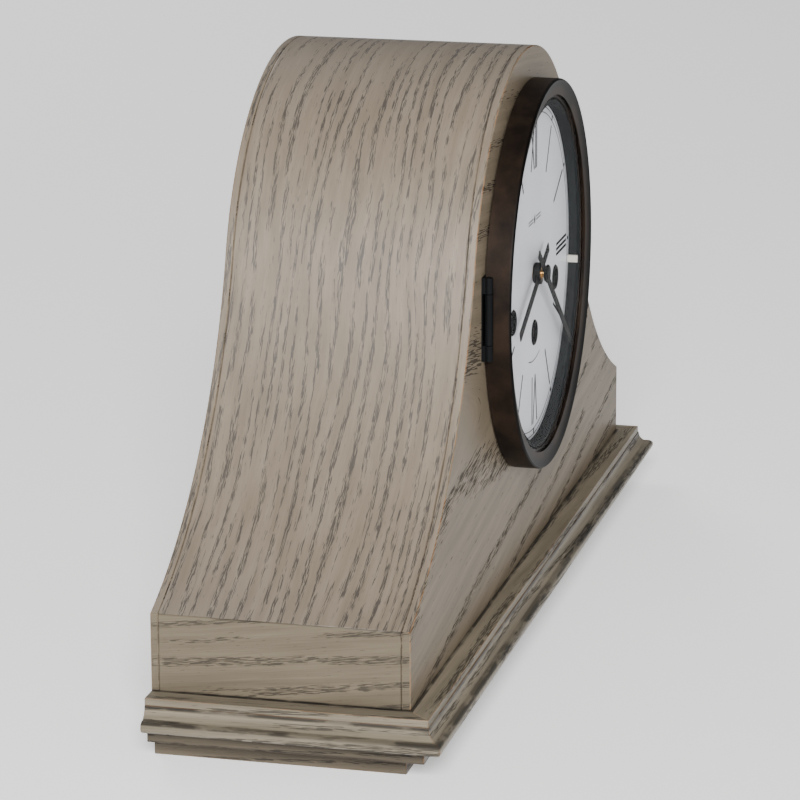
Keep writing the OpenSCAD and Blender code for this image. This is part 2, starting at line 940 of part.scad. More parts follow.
module strike_wheel() { second_wheel(strike_wheel_pos, strike_pos); }
module chime_wheel() { second_wheel(chime_wheel_pos, chime_pos); }

// Where the drum gear's own tooth stands so that it falls in a gap of the great wheel
great_pitch = 360 / great_n;
great_phase = (bearing(chime_pos, chime_drum_pos) - bearing(chime_pos, chime_wheel_pos)) / great_pitch;
drum_phase = drum_gear_angle + 180
    + (great_phase - floor(great_phase) + 0.5) * 360 / drum_gear_n;
rods_depth = (rod_count - 1) * rod_pitch + 4;

module chime_drum() {
    color(brass) {
        arbor(chime_drum_pos, rods_depth + 1);
        facing(side_gear_e, chime_drum_pos) wheel(drum_gear_n, side_m, drum_phase, 1, 0);
        facing(rod_e - rods_depth, chime_drum_pos) cylinder(r = 8.6, h = rods_depth + 5);
        for (i = [0:rod_count - 1], k = [0:3])
            facing(rod_e - i * rod_pitch - 0.5, chime_drum_pos) rotate(k * 90 + i * 18 + 62)
                translate([7, -0.5, 0]) cube([drum_pin_r - 7, 1, 1]);
    }
}

module hammer_rail() {
    color(steel) facing(back_e - plate_t - rods_depth - 9, rail_pos)
        cylinder(r = rail_r, h = rods_depth + 9 + plate_t);
}

head_h = 8;
strike_gap = 1.5;

// Hammer on the rail: hub, arm to the head over its rod, and tail towards the drum
module hammer(i) {
    arm_w = 1.8;
    drop = rail_pos[1] - (rod_z + rod_r + strike_gap + head_h);
    tail_angle = bearing(rail_pos, chime_drum_pos);
    tail_reach = norm(chime_drum_pos - rail_pos) - drum_pin_r - 0.5;
    facing(rod_e - i * rod_pitch - 1, rail_pos) {
        color(steel) linear_extrude(2) difference() {
            union() {
                circle(r = 3.4);
                translate([head_x - rail_pos[0], -arm_w / 2]) square([rail_pos[0] - head_x, arm_w]);
                translate([head_x - rail_pos[0] - arm_w / 2, -drop]) square([arm_w, drop + arm_w / 2]);
                rotate(tail_angle) translate([0, -arm_w / 2]) square([tail_reach, arm_w]);
            }
            circle(r = rail_r + run);
        }
        color(brass) translate([head_x - rail_pos[0], -drop - head_h, 1]) rotate([-90, 0, 0])
            cylinder(r = 2.7, h = head_h);
    }
}

module chime_hammer_high() { for (i = [0, 1]) hammer(i); }
module chime_hammer_low() { for (i = [2, 3]) hammer(i); }
module strike_hammer() { hammer(4); }

rod_base_h = dial_z + rod_z + 8 - base_h - floor_t;
block_t = 16;

module chime_block() {
    color("#3a3a3c") difference() {
        translate([block_x - block_t / 2, face(rod_e) - 4, base_h + floor_t])
            cube([block_t, rods_depth + 4, rod_base_h]);
        chime_rod_set();
    }
}

module chime_rod_set() {
    for (i = [0:rod_count - 1])
        translate([block_x, face(rod_e - i * rod_pitch), dial_z + rod_z]) rotate([0, 90, 0])
            cylinder(r = rod_r, h = rods_len - 7 * i);
}

module chime_rods() { color(steel) chime_rod_set(); }

// ---------- Winding ----------

// Barrel arbor with its ratchet and the square for the key
module winder(pos) {
    count = 18;
    color(steel) {
        facing(back_e - plate_t, pos)
            cylinder(r = winder_r, h = ratchet_e - back_e + plate_t + 1);
        facing(ratchet_e, pos) {
            linear_extrude(1.6) polygon([for (i = [0:count - 1], c = [[0, 6.9], [0.08, ratchet_r],
                [0.2, ratchet_r], [0.95, 6.9]])
                let (a = (i + c[0]) * 360 / count) c[1] * [cos(a), sin(a)]]);
            translate([-square_w / 2, -square_w / 2, 1])
                cube([square_w, square_w, dial_e - dial_t - 0.6 - ratchet_e - 1]);
        }
    }
}

module going_winder() { winder(going_pos); }
module strike_winder() { winder(strike_pos); }
module chime_winder() { winder(chime_pos); }

// Click on its stud, its nose just clear of the ratchet's tips
module click(winder_pos) {
    color(steel) facing(ratchet_e, click_pos(winder_pos)) rotate(click_angle) linear_extrude(1.4)
        difference() {
            union() {
                circle(r = 2.4);
                polygon([[-5.8, -5], [-4.2, -6.4], [2, -1.2], [-1, 2.2], [-2.4, 0.5]]);
            }
            circle(r = stud_r + run);
        }
}

module going_click() { click(going_pos); }
module strike_click() { click(strike_pos); }
module chime_click() { click(chime_pos); }

front_panel();
back_panel();
arch_top();
end_block_left();
end_block_right();
floor_board();
moulding_front();
moulding_left();
moulding_right();
base_rail();
plinth_board();
dial_pan();
dial_plate();
dial_print();
dial_wall();
bezel_catch();
hinge_leaf_case();
movement_brackets();
movement_screws();
front_plate();
back_plate();
pillars();
chime_block();
chime_rods();
hammer_rail();
door_hinge_case();
bezel_ring();
bezel_glass();
glass_retainer();
hinge_leaf_bezel();
back_door();
door_hinge_leaf();
door_latch();
minute_hand();
hand_nut();
cannon_pinion();
centre_arbor();
hour_hand();
hour_wheel();
minute_wheel();
going_barrel();
third_wheel();
escape_wheel();
anchor();
balance_wheel();
strike_barrel();
strike_wheel();
chime_barrel();
chime_wheel();
chime_drum();
chime_hammer_high();
chime_hammer_low();
strike_hammer();
going_winder();
strike_winder();
chime_winder();
going_click();
strike_click();
chime_click();
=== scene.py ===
"""Looks of a tambour mantel clock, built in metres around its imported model."""

import logging
import math
from dataclasses import dataclass
from enum import Enum
from typing import Iterable, Sequence, Union

import bmesh
import bpy
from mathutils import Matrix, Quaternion, Vector


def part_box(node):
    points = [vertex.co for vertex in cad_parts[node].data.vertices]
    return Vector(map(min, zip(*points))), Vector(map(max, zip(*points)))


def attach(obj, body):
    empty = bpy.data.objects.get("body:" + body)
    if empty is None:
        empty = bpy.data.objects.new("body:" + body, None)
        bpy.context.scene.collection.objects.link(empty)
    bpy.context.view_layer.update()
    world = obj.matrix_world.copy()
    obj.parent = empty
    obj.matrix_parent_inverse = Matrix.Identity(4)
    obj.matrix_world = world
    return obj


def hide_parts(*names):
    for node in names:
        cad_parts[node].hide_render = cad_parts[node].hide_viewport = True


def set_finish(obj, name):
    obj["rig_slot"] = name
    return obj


MM = 0.001
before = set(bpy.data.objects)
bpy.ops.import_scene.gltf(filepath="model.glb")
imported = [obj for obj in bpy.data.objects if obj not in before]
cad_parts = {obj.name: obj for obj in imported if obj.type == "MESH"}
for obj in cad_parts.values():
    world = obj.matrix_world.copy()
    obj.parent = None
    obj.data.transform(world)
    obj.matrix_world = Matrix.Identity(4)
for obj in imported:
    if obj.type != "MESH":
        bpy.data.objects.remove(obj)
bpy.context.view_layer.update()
# Gap round the back door, and how much of a panel's thickness counts as its rubbed outer corner
DOOR_GAP = 0.8 * MM
OUTER_SHARE = 0.3
log = logging.getLogger("mantel_clock")

Point = tuple[float, float]
Feed = Union[bpy.types.NodeSocket, bpy.types.Node]


# ---------- Colour and node helpers ----------


def linear(code: str) -> tuple[float, float, float, float]:
    """Turns an sRGB hex colour into linear RGBA.

    Args:
        code: Six hex digits, with or without a leading hash.

    Returns:
        The linear colour with an alpha of one.
    """
    digits = code.lstrip("#")
    values = [int(digits[i:i + 2], 16) / 255 for i in (0, 2, 4)]
    red, green, blue = (v / 12.92 if v <= 0.04045 else ((v + 0.055) / 1.055) ** 2.4 for v in values)
    return (red, green, blue, 1.0)


def add_node(tree: bpy.types.NodeTree, kind: str, links: dict | None = None, **settings) -> bpy.types.Node:
    """Adds a node with its settings, socket values and incoming links.

    Args:
        tree: The node tree that gets the node.
        kind: The node's type name.
        links: Input name or number to a value, or to the socket that feeds it; a node feeds it from
            its first output.
        **settings: Properties of the node itself.

    Returns:
        The new node.
    """
    node = tree.nodes.new(kind)
    for name, value in settings.items():
        setattr(node, name, value)
    for key, value in (links or {}).items():
        if isinstance(value, bpy.types.Node):
            value = value.outputs[0]
        if isinstance(value, bpy.types.NodeSocket):
            tree.links.new(value, node.inputs[key])
        else:
            node.inputs[key].default_value = value
    return node


def new_material(name: str) -> tuple[bpy.types.Material, bpy.types.NodeTree, bpy.types.Node]:
    """Makes a material with a bare principled shader.

    Args:
        name: The material's name.

    Returns:
        The material, its tree and its principled node.
    """
    material = bpy.data.materials.new(name)
    material.use_nodes = True
    tree = material.node_tree
    return material, tree, tree.nodes["Principled BSDF"]


# ---------- Case outline ----------


@dataclass(frozen=True)
class Outline:
    """Front outline of the tambour case: a round crown with hollow shoulders."""

    half_width: float
    floor_z: float
    block_top: float
    crown_top: float
    crown_radius: float = 109 * MM
    flare_radius: float = 200 * MM
    steps: int = 72

    @property
    def crown_centre(self) -> Vector:
        """Centre of the crown circle."""
        return Vector((0.0, self.crown_top - self.crown_radius))

    @property
    def flare_centre(self) -> Vector:
        """Centre of the right-hand shoulder circle, touching the crown and the block's corner."""
        corner = Vector((self.half_width, self.block_top))
        reach = corner - self.crown_centre
        distance = reach.length
        both = self.crown_radius + self.flare_radius
        along = (both ** 2 - self.flare_radius ** 2 + distance ** 2) / (2 * distance)
        across = math.sqrt(both ** 2 - along ** 2)
        unit = reach / distance
        return self.crown_centre + along * unit + across * Vector((-unit.y, unit.x))

    @property
    def touch_angle(self) -> float:
        """Angle above the horizontal at which the right shoulder meets the crown."""
        direction = self.flare_centre - self.crown_centre
        return math.atan2(direction.y, direction.x)

    def top_path(self, inset: float = 0.0) -> list[Point]:
        """Points along the arch from the left block to the right one.

        Args:
            inset: Distance inside the outer face.

        Returns:
            Points as x and z.
        """
        crown, flare = self.crown_centre, self.flare_centre
        radius = self.flare_radius + inset
        end = math.pi + math.asin(min(1.0, (flare.y - self.block_top) / radius))
        start = math.pi + self.touch_angle
        right = []
        for i in range(self.steps + 1):
            angle = math.pi / 2 + (self.touch_angle - math.pi / 2) * i / self.steps
            inner = self.crown_radius - inset
            right.append((crown.x + inner * math.cos(angle), crown.y + inner * math.sin(angle)))
        for i in range(1, self.steps + 1):
            angle = start + (end - start) * i / self.steps
            right.append((flare.x + radius * math.cos(angle), flare.y + radius * math.sin(angle)))
        return [(-x, z) for x, z in reversed(right[1:])] + right


# ---------- Finishes ----------


class Grain(Enum):
    """Which way the oak's grain runs."""

    ARCH = "bent along the arch"
    WIDTH = "across the front"
    DEPTH = "front to back"
    STRIP = "front strip"
    SIDE_STRIP = "side strip"
    PLINTH = "plinth front"
    SIDE_PLINTH = "plinth side"


@dataclass(frozen=True)
class Oak:
    """Open-grain oak, grey washed and glazed: taupe ground, charcoal pores in rows, satin lacquer."""

    name: str
    grain: Grain
    outline: Outline
    light: str = "#85796a"
    middle: str = "#7a6e5f"
    shade: str = "#6e6355"
    pore: str = "#1f1d1b"
    # Cut vessels of oak are about 0.3 mm wide; the flat-cut panels have them coarser, to show at a slant
    pore_length: float = 5.6 * MM
    pore_width: float = 0.33 * MM
    pore_depth: float = 0.76
    row_pitch: float = 4.9 * MM
    row_share: float = 0.64
    open_cut: float = 0.455
    plain_cut: float = 0.72
    tilt: float = 0.02
    arch_reach: float = 0.0
    rub: str = "#946640"
    rub_share: float = 0.0
    rub_from: float = 0.0
    specular: float = 0.2
    roughness: float = 0.38
    half_depth: float = 56 * MM
    slant: float = 0.7
    arch_middle: float = 85 * MM
    wander: float = 9 * MM
    row_jitter: float = 3.2
    pore_edge: float = 0.035
    # Heights of the dark lines under ledges and in corners, partly glaze and partly painted shade
    shade_ledges: tuple[float, ...] = (14.8 * MM, 8.8 * MM)

    def directions(self, tree: bpy.types.NodeTree, place: bpy.types.NodeSocket) -> tuple:
        """Finds distances along, across and into the board, in metres.

        Args:
            tree: The material's tree.
            place: Where the point lies.

        Returns:
            Sockets for along, across and into.
        """
        parts = add_node(tree, "ShaderNodeSeparateXYZ", {0: place})
        x, y, z = parts.outputs[0], parts.outputs[1], parts.outputs[2]
        if self.grain in (Grain.WIDTH, Grain.STRIP, Grain.PLINTH):
            across = add_node(tree, "ShaderNodeMath", {0: y, 1: self.slant, 2: z}, operation="MULTIPLY_ADD")
            return x, across, y
        if self.grain in (Grain.DEPTH, Grain.SIDE_STRIP, Grain.SIDE_PLINTH):
            across = add_node(tree, "ShaderNodeMath", {0: x, 1: self.slant, 2: z}, operation="MULTIPLY_ADD")
            return y, across, x
        crown, flare = self.outline.crown_centre, self.outline.flare_centre
        turn = self.outline.touch_angle
        side = add_node(tree, "ShaderNodeMath", {0: x}, operation="ABSOLUTE")
        over = add_node(tree, "ShaderNodeMath", {
            0: side, 1: add_node(tree, "ShaderNodeMath", {0: z, 1: crown.y}, operation="SUBTRACT"),
        }, operation="ARCTAN2")
        crown_s = add_node(tree, "ShaderNodeMath", {
            0: over, 1: self.outline.crown_radius,
        }, operation="MULTIPLY")
        quarter = (math.pi / 2 - turn) * self.outline.crown_radius
        down = add_node(tree, "ShaderNodeMath", {
            0: add_node(tree, "ShaderNodeMath", {0: flare.y, 1: z}, operation="SUBTRACT"),
            1: add_node(tree, "ShaderNodeMath", {0: flare.x, 1: side}, operation="SUBTRACT"),
        }, operation="ARCTAN2")
        flare_s = add_node(tree, "ShaderNodeMath", {
            0: add_node(tree, "ShaderNodeMath", {0: down, 1: turn}, operation="SUBTRACT"),
            1: self.outline.flare_radius, 2: quarter,
        }, operation="MULTIPLY_ADD")
        on_flare = add_node(tree, "ShaderNodeMath", {0: crown_s, 1: quarter}, operation="GREATER_THAN")
        change = add_node(tree, "ShaderNodeMath", {
            0: add_node(tree, "ShaderNodeMath", {0: flare_s, 1: crown_s}, operation="SUBTRACT"),
            1: on_flare,
        }, operation="MULTIPLY")
        along = add_node(tree, "ShaderNodeMath", {
            0: add_node(tree, "ShaderNodeMath", {0: crown_s, 1: change}, operation="ADD"),
            1: add_node(tree, "ShaderNodeMath", {0: x}, operation="SIGN"),
        }, operation="MULTIPLY")
        return along, y, z

    def stretched(self, tree: bpy.types.NodeTree, spot: tuple, sizes: tuple[float, float, float],
                  shift: float) -> bpy.types.NodeSocket:
        """Builds a pattern vector from real sizes.

        Args:
            tree: The material's tree.
            spot: Distances along, across and into the board.
            sizes: Feature size along, across and into, in metres.
            shift: Offset that makes each pattern differ.

        Returns:
            The vector socket.
        """
        scaled = [
            add_node(tree, "ShaderNodeMath", {0: value, 1: 1 / size, 2: shift}, operation="MULTIPLY_ADD")
            for value, size in zip(spot, sizes)
        ]
        return add_node(tree, "ShaderNodeCombineXYZ", dict(enumerate(scaled))).outputs[0]

    def figure(self, tree: bpy.types.NodeTree, spot: tuple) -> bpy.types.Node:
        """Bends the year rings: a slight lean, a slow wander and pointed arches on flat-cut boards.

        Args:
            tree: The material's tree.
            spot: Distances along, across and into the board.

        Returns:
            Distance across the rings, in metres.
        """
        along, across, _into = spot
        wander = add_node(tree, "ShaderNodeTexNoise", {
            "Vector": self.stretched(tree, spot, (0.22, 0.06, 0.08), 3.0), "Scale": 1.0, "Detail": 1.0,
            "Roughness": 0.5,
        })
        drift = add_node(tree, "ShaderNodeMath", {
            0: add_node(tree, "ShaderNodeMath", {0: wander, 1: 0.5}, operation="SUBTRACT"), 1: self.wander,
        }, operation="MULTIPLY")
        if self.arch_reach:
            centred = add_node(tree, "ShaderNodeMath", {0: across, 1: self.arch_middle}, operation="SUBTRACT")
            square = add_node(tree, "ShaderNodeMath", {
                0: centred, 1: centred, 2: self.arch_reach ** 2,
            }, operation="MULTIPLY_ADD")
            across = add_node(tree, "ShaderNodeMath", {0: square}, operation="SQRT")
        lean = add_node(tree, "ShaderNodeMath", {0: along, 1: self.tilt}, operation="MULTIPLY")
        return add_node(tree, "ShaderNodeMath", {
            0: add_node(tree, "ShaderNodeMath", {0: across, 1: drift}, operation="ADD"), 1: lean,
        }, operation="ADD")

    def pores(self, tree: bpy.types.NodeTree, spot: tuple, figure: Feed) -> bpy.types.Node:
        """Draws the cut vessels: thin dashes that crowd into rows, one row to a year ring.

        Args:
            tree: The material's tree.
            spot: Distances along, across and into the board.
            figure: Distance across the rings.

        Returns:
            Pore depth from 0 to 1.
        """
        along, _across, into = spot
        bent = (along, figure, into)
        uneven = add_node(tree, "ShaderNodeTexNoise", {
            "Vector": self.stretched(tree, bent, (0.5, 4 * self.row_pitch, 0.1), 7.0), "Scale": 1.0,
            "Detail": 1.0, "Roughness": 0.5,
        })
        phase = add_node(tree, "ShaderNodeMath", {
            0: add_node(tree, "ShaderNodeMath", {0: figure, 1: 1 / self.row_pitch}, operation="MULTIPLY"),
            1: add_node(tree, "ShaderNodeMath", {0: uneven, 1: self.row_jitter}, operation="MULTIPLY"),
        }, operation="ADD")
        wave = add_node(tree, "ShaderNodeMath", {
            0: add_node(tree, "ShaderNodeMath", {0: phase, 1: 0.5}, operation="PINGPONG"), 1: 2.0,
        }, operation="MULTIPLY")
        row = add_node(tree, "ShaderNodeMapRange", {
            0: wave, 1: 1 - self.row_share, 2: 1 - 0.45 * self.row_share,
        }, interpolation_type="SMOOTHSTEP")
        # Each row comes and goes along its length
        gaps = add_node(tree, "ShaderNodeTexNoise", {
            "Vector": self.stretched(tree, bent, (0.055, 0.8 * self.row_pitch, 0.04), 17.0), "Scale": 1.0,
            "Detail": 1.0, "Roughness": 0.5,
        })
        row = add_node(tree, "ShaderNodeMath", {
            0: row,
            1: add_node(tree, "ShaderNodeMapRange", {
                0: gaps, 1: 0.32, 2: 0.52,
            }, interpolation_type="SMOOTHSTEP"),
        }, operation="MULTIPLY")
        cut = add_node(tree, "ShaderNodeMath", {
            0: row, 1: self.open_cut - self.plain_cut, 2: self.plain_cut,
        }, operation="MULTIPLY_ADD")
        size = (self.pore_length, self.pore_width, 0.02)
        fine = add_node(tree, "ShaderNodeTexNoise", {
            "Vector": self.stretched(tree, bent, size, 11.0), "Scale": 1.0, "Detail": 1.0,
            "Roughness": 0.4,
        })
        return add_node(tree, "ShaderNodeMapRange", {
            0: add_node(tree, "ShaderNodeMath", {0: fine, 1: cut}, operation="SUBTRACT"),
            1: 0.0, 2: self.pore_edge,
        }, interpolation_type="SMOOTHSTEP")

    def glaze_and_shade(self, tree: bpy.types.NodeTree, place: bpy.types.NodeSocket,
              patch: Feed) -> bpy.types.Node:
        """Finds the dark lines in the corners between the mouldings, under the moulding's nose and at the
        plinth's steps: partly glaze left in the corners, partly painted shade.

        Args:
            tree: The material's tree.
            place: Where the point lies.
            patch: Slow noise that breaks up the lines.

        Returns:
            How dark the line is, glaze and painted shade together, from 0 to 1.
        """
        parts = add_node(tree, "ShaderNodeSeparateXYZ", {0: place})
        x, y, z = parts.outputs[0], parts.outputs[1], parts.outputs[2]
        beyond = add_node(tree, "ShaderNodeMath", {
            0: add_node(tree, "ShaderNodeMath", {
                0: add_node(tree, "ShaderNodeMath", {0: x}, operation="ABSOLUTE"),
                1: self.outline.half_width,
            }, operation="SUBTRACT"),
            1: add_node(tree, "ShaderNodeMath", {
                0: add_node(tree, "ShaderNodeMath", {0: y}, operation="ABSOLUTE"), 1: self.half_depth,
            }, operation="SUBTRACT"),
        }, operation="MAXIMUM")
        near = add_node(tree, "ShaderNodeMath", {0: beyond, 1: 1.1 * MM}, operation="LESS_THAN")
        most = 0.0
        for height in (self.outline.floor_z, *self.shade_ledges):
            away = add_node(tree, "ShaderNodeMath", {
                0: add_node(tree, "ShaderNodeMath", {0: z, 1: height}, operation="SUBTRACT"),
            }, operation="ABSOLUTE")
            line = add_node(tree, "ShaderNodeMath", {
                0: 1.0,
                1: add_node(tree, "ShaderNodeMapRange", {
                    0: away, 1: 0.3 * MM, 2: 1.2 * MM,
                }, interpolation_type="SMOOTHSTEP"),
            }, operation="SUBTRACT")
            if height == self.outline.floor_z:
                line = add_node(tree, "ShaderNodeMath", {0: line, 1: near}, operation="MULTIPLY")
            most = add_node(tree, "ShaderNodeMath", {0: most, 1: line}, operation="MAXIMUM")
        return add_node(tree, "ShaderNodeMath", {
            0: most,
            1: add_node(tree, "ShaderNodeMath", {0: patch, 1: 0.5, 2: 0.35}, operation="MULTIPLY_ADD"),
        }, operation="MULTIPLY")

    def build(self) -> bpy.types.Material:
        """Makes the oak material.

        Returns:
            The material.
        """
        material, tree, shader = new_material(self.name)
        place = add_node(tree, "ShaderNodeTexCoord").outputs["Object"]
        spot = self.directions(tree, place)
        figure = self.figure(tree, spot)
        pores = self.pores(tree, spot, figure)
        bent = (spot[0], figure, spot[2])
        # Ground tone: streaks a few millimetres wide and hair-fine fibres
        streak = add_node(tree, "ShaderNodeTexNoise", {
            "Vector": self.stretched(tree, bent, (0.1, 4.5 * MM, 0.03), 31.0), "Scale": 1.0, "Detail": 3.0,
            "Roughness": 0.6,
        })
        fibre = add_node(tree, "ShaderNodeTexNoise", {
            "Vector": self.stretched(tree, bent, (0.025, 0.5 * MM, 0.01), 41.0), "Scale": 1.0,
            "Detail": 2.0, "Roughness": 0.6,
        })
        tone = add_node(tree, "ShaderNodeMath", {
            0: add_node(tree, "ShaderNodeMath", {0: streak, 1: 0.7}, operation="MULTIPLY"),
            1: add_node(tree, "ShaderNodeMath", {0: fibre, 1: 0.3}, operation="MULTIPLY"),
        }, operation="ADD")
        ground = add_node(tree, "ShaderNodeValToRGB", {0: tone})
        ground.color_ramp.elements.new(0.5)
        stops = ((0.30, self.shade), (0.50, self.middle), (0.70, self.light))
        for element, (place_on, code) in zip(ground.color_ramp.elements, stops):
            element.position = place_on
            element.color = linear(code)
        colour = add_node(tree, "ShaderNodeMix", {
            0: add_node(tree, "ShaderNodeMath", {0: pores, 1: self.pore_depth}, operation="MULTIPLY"),
            6: ground, 7: linear(self.pore),
        }, data_type="RGBA").outputs[2]
        patch = add_node(tree, "ShaderNodeMapRange", {
            0: add_node(tree, "ShaderNodeTexNoise", {
                "Vector": self.stretched(tree, spot, (0.02, 0.006, 0.02), 53.0), "Scale": 1.0,
                "Detail": 3.0, "Roughness": 0.6,
            }),
            1: 0.4, 2: 0.56,
        }, interpolation_type="SMOOTHSTEP")
        if self.rub_share:
            # Outer corners are rubbed through to warm brown in patches; glued joints hold dark glaze
            parts = add_node(tree, "ShaderNodeSeparateXYZ", {0: place})
            outer = add_node(tree, "ShaderNodeMath", {
                0: add_node(tree, "ShaderNodeMath", {0: parts.outputs[1]}, operation="ABSOLUTE"),
                1: self.rub_from,
            }, operation="GREATER_THAN")
            worn = add_node(tree, "ShaderNodeMix", {
                0: outer, 6: linear(self.pore), 7: linear(self.rub),
            }, data_type="RGBA").outputs[2]
            bare = add_node(tree, "ShaderNodeMath", {0: patch, 1: self.rub_share}, operation="MULTIPLY")
            colour = add_node(tree, "ShaderNodeMix", {
                0: bare, 6: colour, 7: worn,
            }, data_type="RGBA").outputs[2]
        # Painted shade, partly glaze: dark lines at the case's foot, under the ledges and at the plinth's
        # steps
        colour = add_node(tree, "ShaderNodeMix", {
            0: self.glaze_and_shade(tree, place, patch), 6: colour, 7: linear(self.pore),
        }, data_type="RGBA").outputs[2]
        tree.links.new(colour, shader.inputs["Base Color"])
        shader.inputs["Specular IOR Level"].default_value = self.specular
        rough = add_node(tree, "ShaderNodeMath", {
            0: pores, 1: 0.25, 2: self.roughness,
        }, operation="MULTIPLY_ADD")
        tree.links.new(rough.outputs[0], shader.inputs["Roughness"])
        height = add_node(tree, "ShaderNodeMath", {
            0: add_node(tree, "ShaderNodeMath", {0: fibre, 1: 0.2}, operation="MULTIPLY"), 1: pores,
        }, operation="SUBTRACT")
        bump = add_node(tree, "ShaderNodeBump", {"Strength": 0.3, "Distance": 0.0002, "Height": height})
        tree.links.new(bump.outputs[0], shader.inputs["Normal"])
        return material


@dataclass(frozen=True)
class Metal:
    """Metal or painted metal with a worked surface: turned lines, brushing or fine grit."""

    name: str
    base: str
    second: str
    metallic: float
    roughness: float
    line_size: float = 0.3 * MM
    cloud_size: float = 18 * MM
    contrast: float = 0.5
    bump: float = 0.08
    specular: float = 0.5
    # Depth in front of the middle at which the lip's painted shade starts; zero leaves it off
    painted_shade_front: float = 0.0

    def build(self) -> bpy.types.Material:
        """Makes the metal material.

        Returns:
            The material.
        """
        material, tree, shader = new_material(self.name)
        place = add_node(tree, "ShaderNodeTexCoord").outputs["Object"]
        cloud_at = add_node(tree, "ShaderNodeVectorMath", {
            0: place, 3: 1 / self.cloud_size,
        }, operation="SCALE")
        cloud = add_node(tree, "ShaderNodeTexNoise", {
            "Vector": cloud_at.outputs[0], "Scale": 1.0, "Detail": 4.0, "Roughness": 0.6,
        })
        grit_at = add_node(tree, "ShaderNodeVectorMath", {0: place, 3: 1 / self.line_size}, operation="SCALE")
        grit = add_node(tree, "ShaderNodeTexNoise", {
            "Vector": grit_at.outputs[0], "Scale": 1.0, "Detail": 2.0, "Roughness": 0.5,
        })
        tone = add_node(tree, "ShaderNodeMath", {
            0: add_node(tree, "ShaderNodeMapRange", {
                0: cloud, 1: 0.3, 2: 0.7,
            }, interpolation_type="SMOOTHSTEP"),
            1: self.contrast,
        }, operation="MULTIPLY")
        colour = add_node(tree, "ShaderNodeMix", {
            0: tone, 6: linear(self.base), 7: linear(self.second),
        }, data_type="RGBA").outputs[2]
        if self.painted_shade_front:
            # Painted shade: the front lip is darkened to near black
            depth = add_node(tree, "ShaderNodeSeparateXYZ", {0: place}).outputs[1]
            front = add_node(tree, "ShaderNodeMapRange", {
                0: add_node(tree, "ShaderNodeMath", {0: depth, 1: -1.0}, operation="MULTIPLY"),
                1: self.painted_shade_front, 2: self.painted_shade_front + MM,
            }, interpolation_type="SMOOTHSTEP")
            colour = add_node(tree, "ShaderNodeMix", {
                0: front, 6: colour, 7: linear("#070606"),
            }, data_type="RGBA").outputs[2]
        tree.links.new(colour, shader.inputs["Base Color"])
        rough = add_node(tree, "ShaderNodeMath", {
            0: grit, 1: 0.18, 2: self.roughness - 0.09,
        }, operation="MULTIPLY_ADD")
        tree.links.new(rough.outputs[0], shader.inputs["Roughness"])
        shader.inputs["Metallic"].default_value = self.metallic
        shader.inputs["Specular IOR Level"].default_value = self.specular
        bump = add_node(tree, "ShaderNodeBump", {"Strength": self.bump, "Distance": 0.0001, "Height": grit})
        tree.links.new(bump.outputs[0], shader.inputs["Normal"])
        return material


@dataclass(frozen=True)
class Enamel:
    """Painted or enamelled sheet: an even colour with very faint clouding and orange peel."""

    name: str
    base: str
    second: str
    roughness: float = 0.4
    cloud_size: float = 25 * MM
    peel_size: float = 0.6 * MM
    bump: float = 0.05
    specular: float = 0.5

    def build(self) -> bpy.types.Material:
        """Makes the enamel material.

        Returns:
            The material.
        """
        material, tree, shader = new_material(self.name)
        place = add_node(tree, "ShaderNodeTexCoord").outputs["Object"]
        cloud_at = add_node(tree, "ShaderNodeVectorMath", {
            0: place, 3: 1 / self.cloud_size,
        }, operation="SCALE")
        peel_at = add_node(tree, "ShaderNodeVectorMath", {0: place, 3: 1 / self.peel_size}, operation="SCALE")
        cloud = add_node(tree, "ShaderNodeTexNoise", {
            "Vector": cloud_at.outputs[0], "Scale": 1.0, "Detail": 3.0, "Roughness": 0.55,
        })
        peel = add_node(tree, "ShaderNodeTexNoise", {
            "Vector": peel_at.outputs[0], "Scale": 1.0, "Detail": 2.0, "Roughness": 0.5,
        })
        colour = add_node(tree, "ShaderNodeMix", {
            0: add_node(tree, "ShaderNodeMapRange", {
                0: cloud, 1: 0.3, 2: 0.7,
            }, interpolation_type="SMOOTHSTEP"),
            6: linear(self.base), 7: linear(self.second),
        }, data_type="RGBA").outputs[2]
        tree.links.new(colour, shader.inputs["Base Color"])
        shader.inputs["Specular IOR Level"].default_value = self.specular
        rough = add_node(tree, "ShaderNodeMath", {
            0: peel, 1: 0.1, 2: self.roughness - 0.05,
        }, operation="MULTIPLY_ADD")
        tree.links.new(rough.outputs[0], shader.inputs["Roughness"])
        bump = add_node(tree, "ShaderNodeBump", {"Strength": self.bump, "Distance": 0.0001, "Height": peel})
        tree.links.new(bump.outputs[0], shader.inputs["Normal"])
        return material


@dataclass(frozen=True)
class ClearGlass:
    """Thin clear glass that shows what lies behind it, with a faint film of dust."""

    name: str
    alpha: float = 0.035
    roughness: float = 0.03

    def build(self) -> bpy.types.Material:
        """Makes the glass material.

        Returns:
            The material.
        """
        material, tree, shader = new_material(self.name)
        place = add_node(tree, "ShaderNodeTexCoord").outputs["Object"]
        film_at = add_node(tree, "ShaderNodeVectorMath", {0: place, 3: 1 / (30 * MM)}, operation="SCALE")
        film = add_node(tree, "ShaderNodeTexNoise", {
            "Vector": film_at.outputs[0], "Scale": 1.0, "Detail": 4.0, "Roughness": 0.6,
        })
        veil = add_node(tree, "ShaderNodeMath", {
            0: film, 1: 0.012, 2: self.alpha - 0.006,
        }, operation="MULTIPLY_ADD")
        tree.links.new(veil.outputs[0], shader.inputs["Alpha"])
        rough = add_node(tree, "ShaderNodeMath", {
            0: film, 1: 0.03, 2: self.roughness,
        }, operation="MULTIPLY_ADD")
        tree.links.new(rough.outputs[0], shader.inputs["Roughness"])
        shader.inputs["Base Color"].default_value = linear("#15181a")
        shader.inputs["IOR"].default_value = 1.5
        return material


# ---------- Mesh helpers ----------


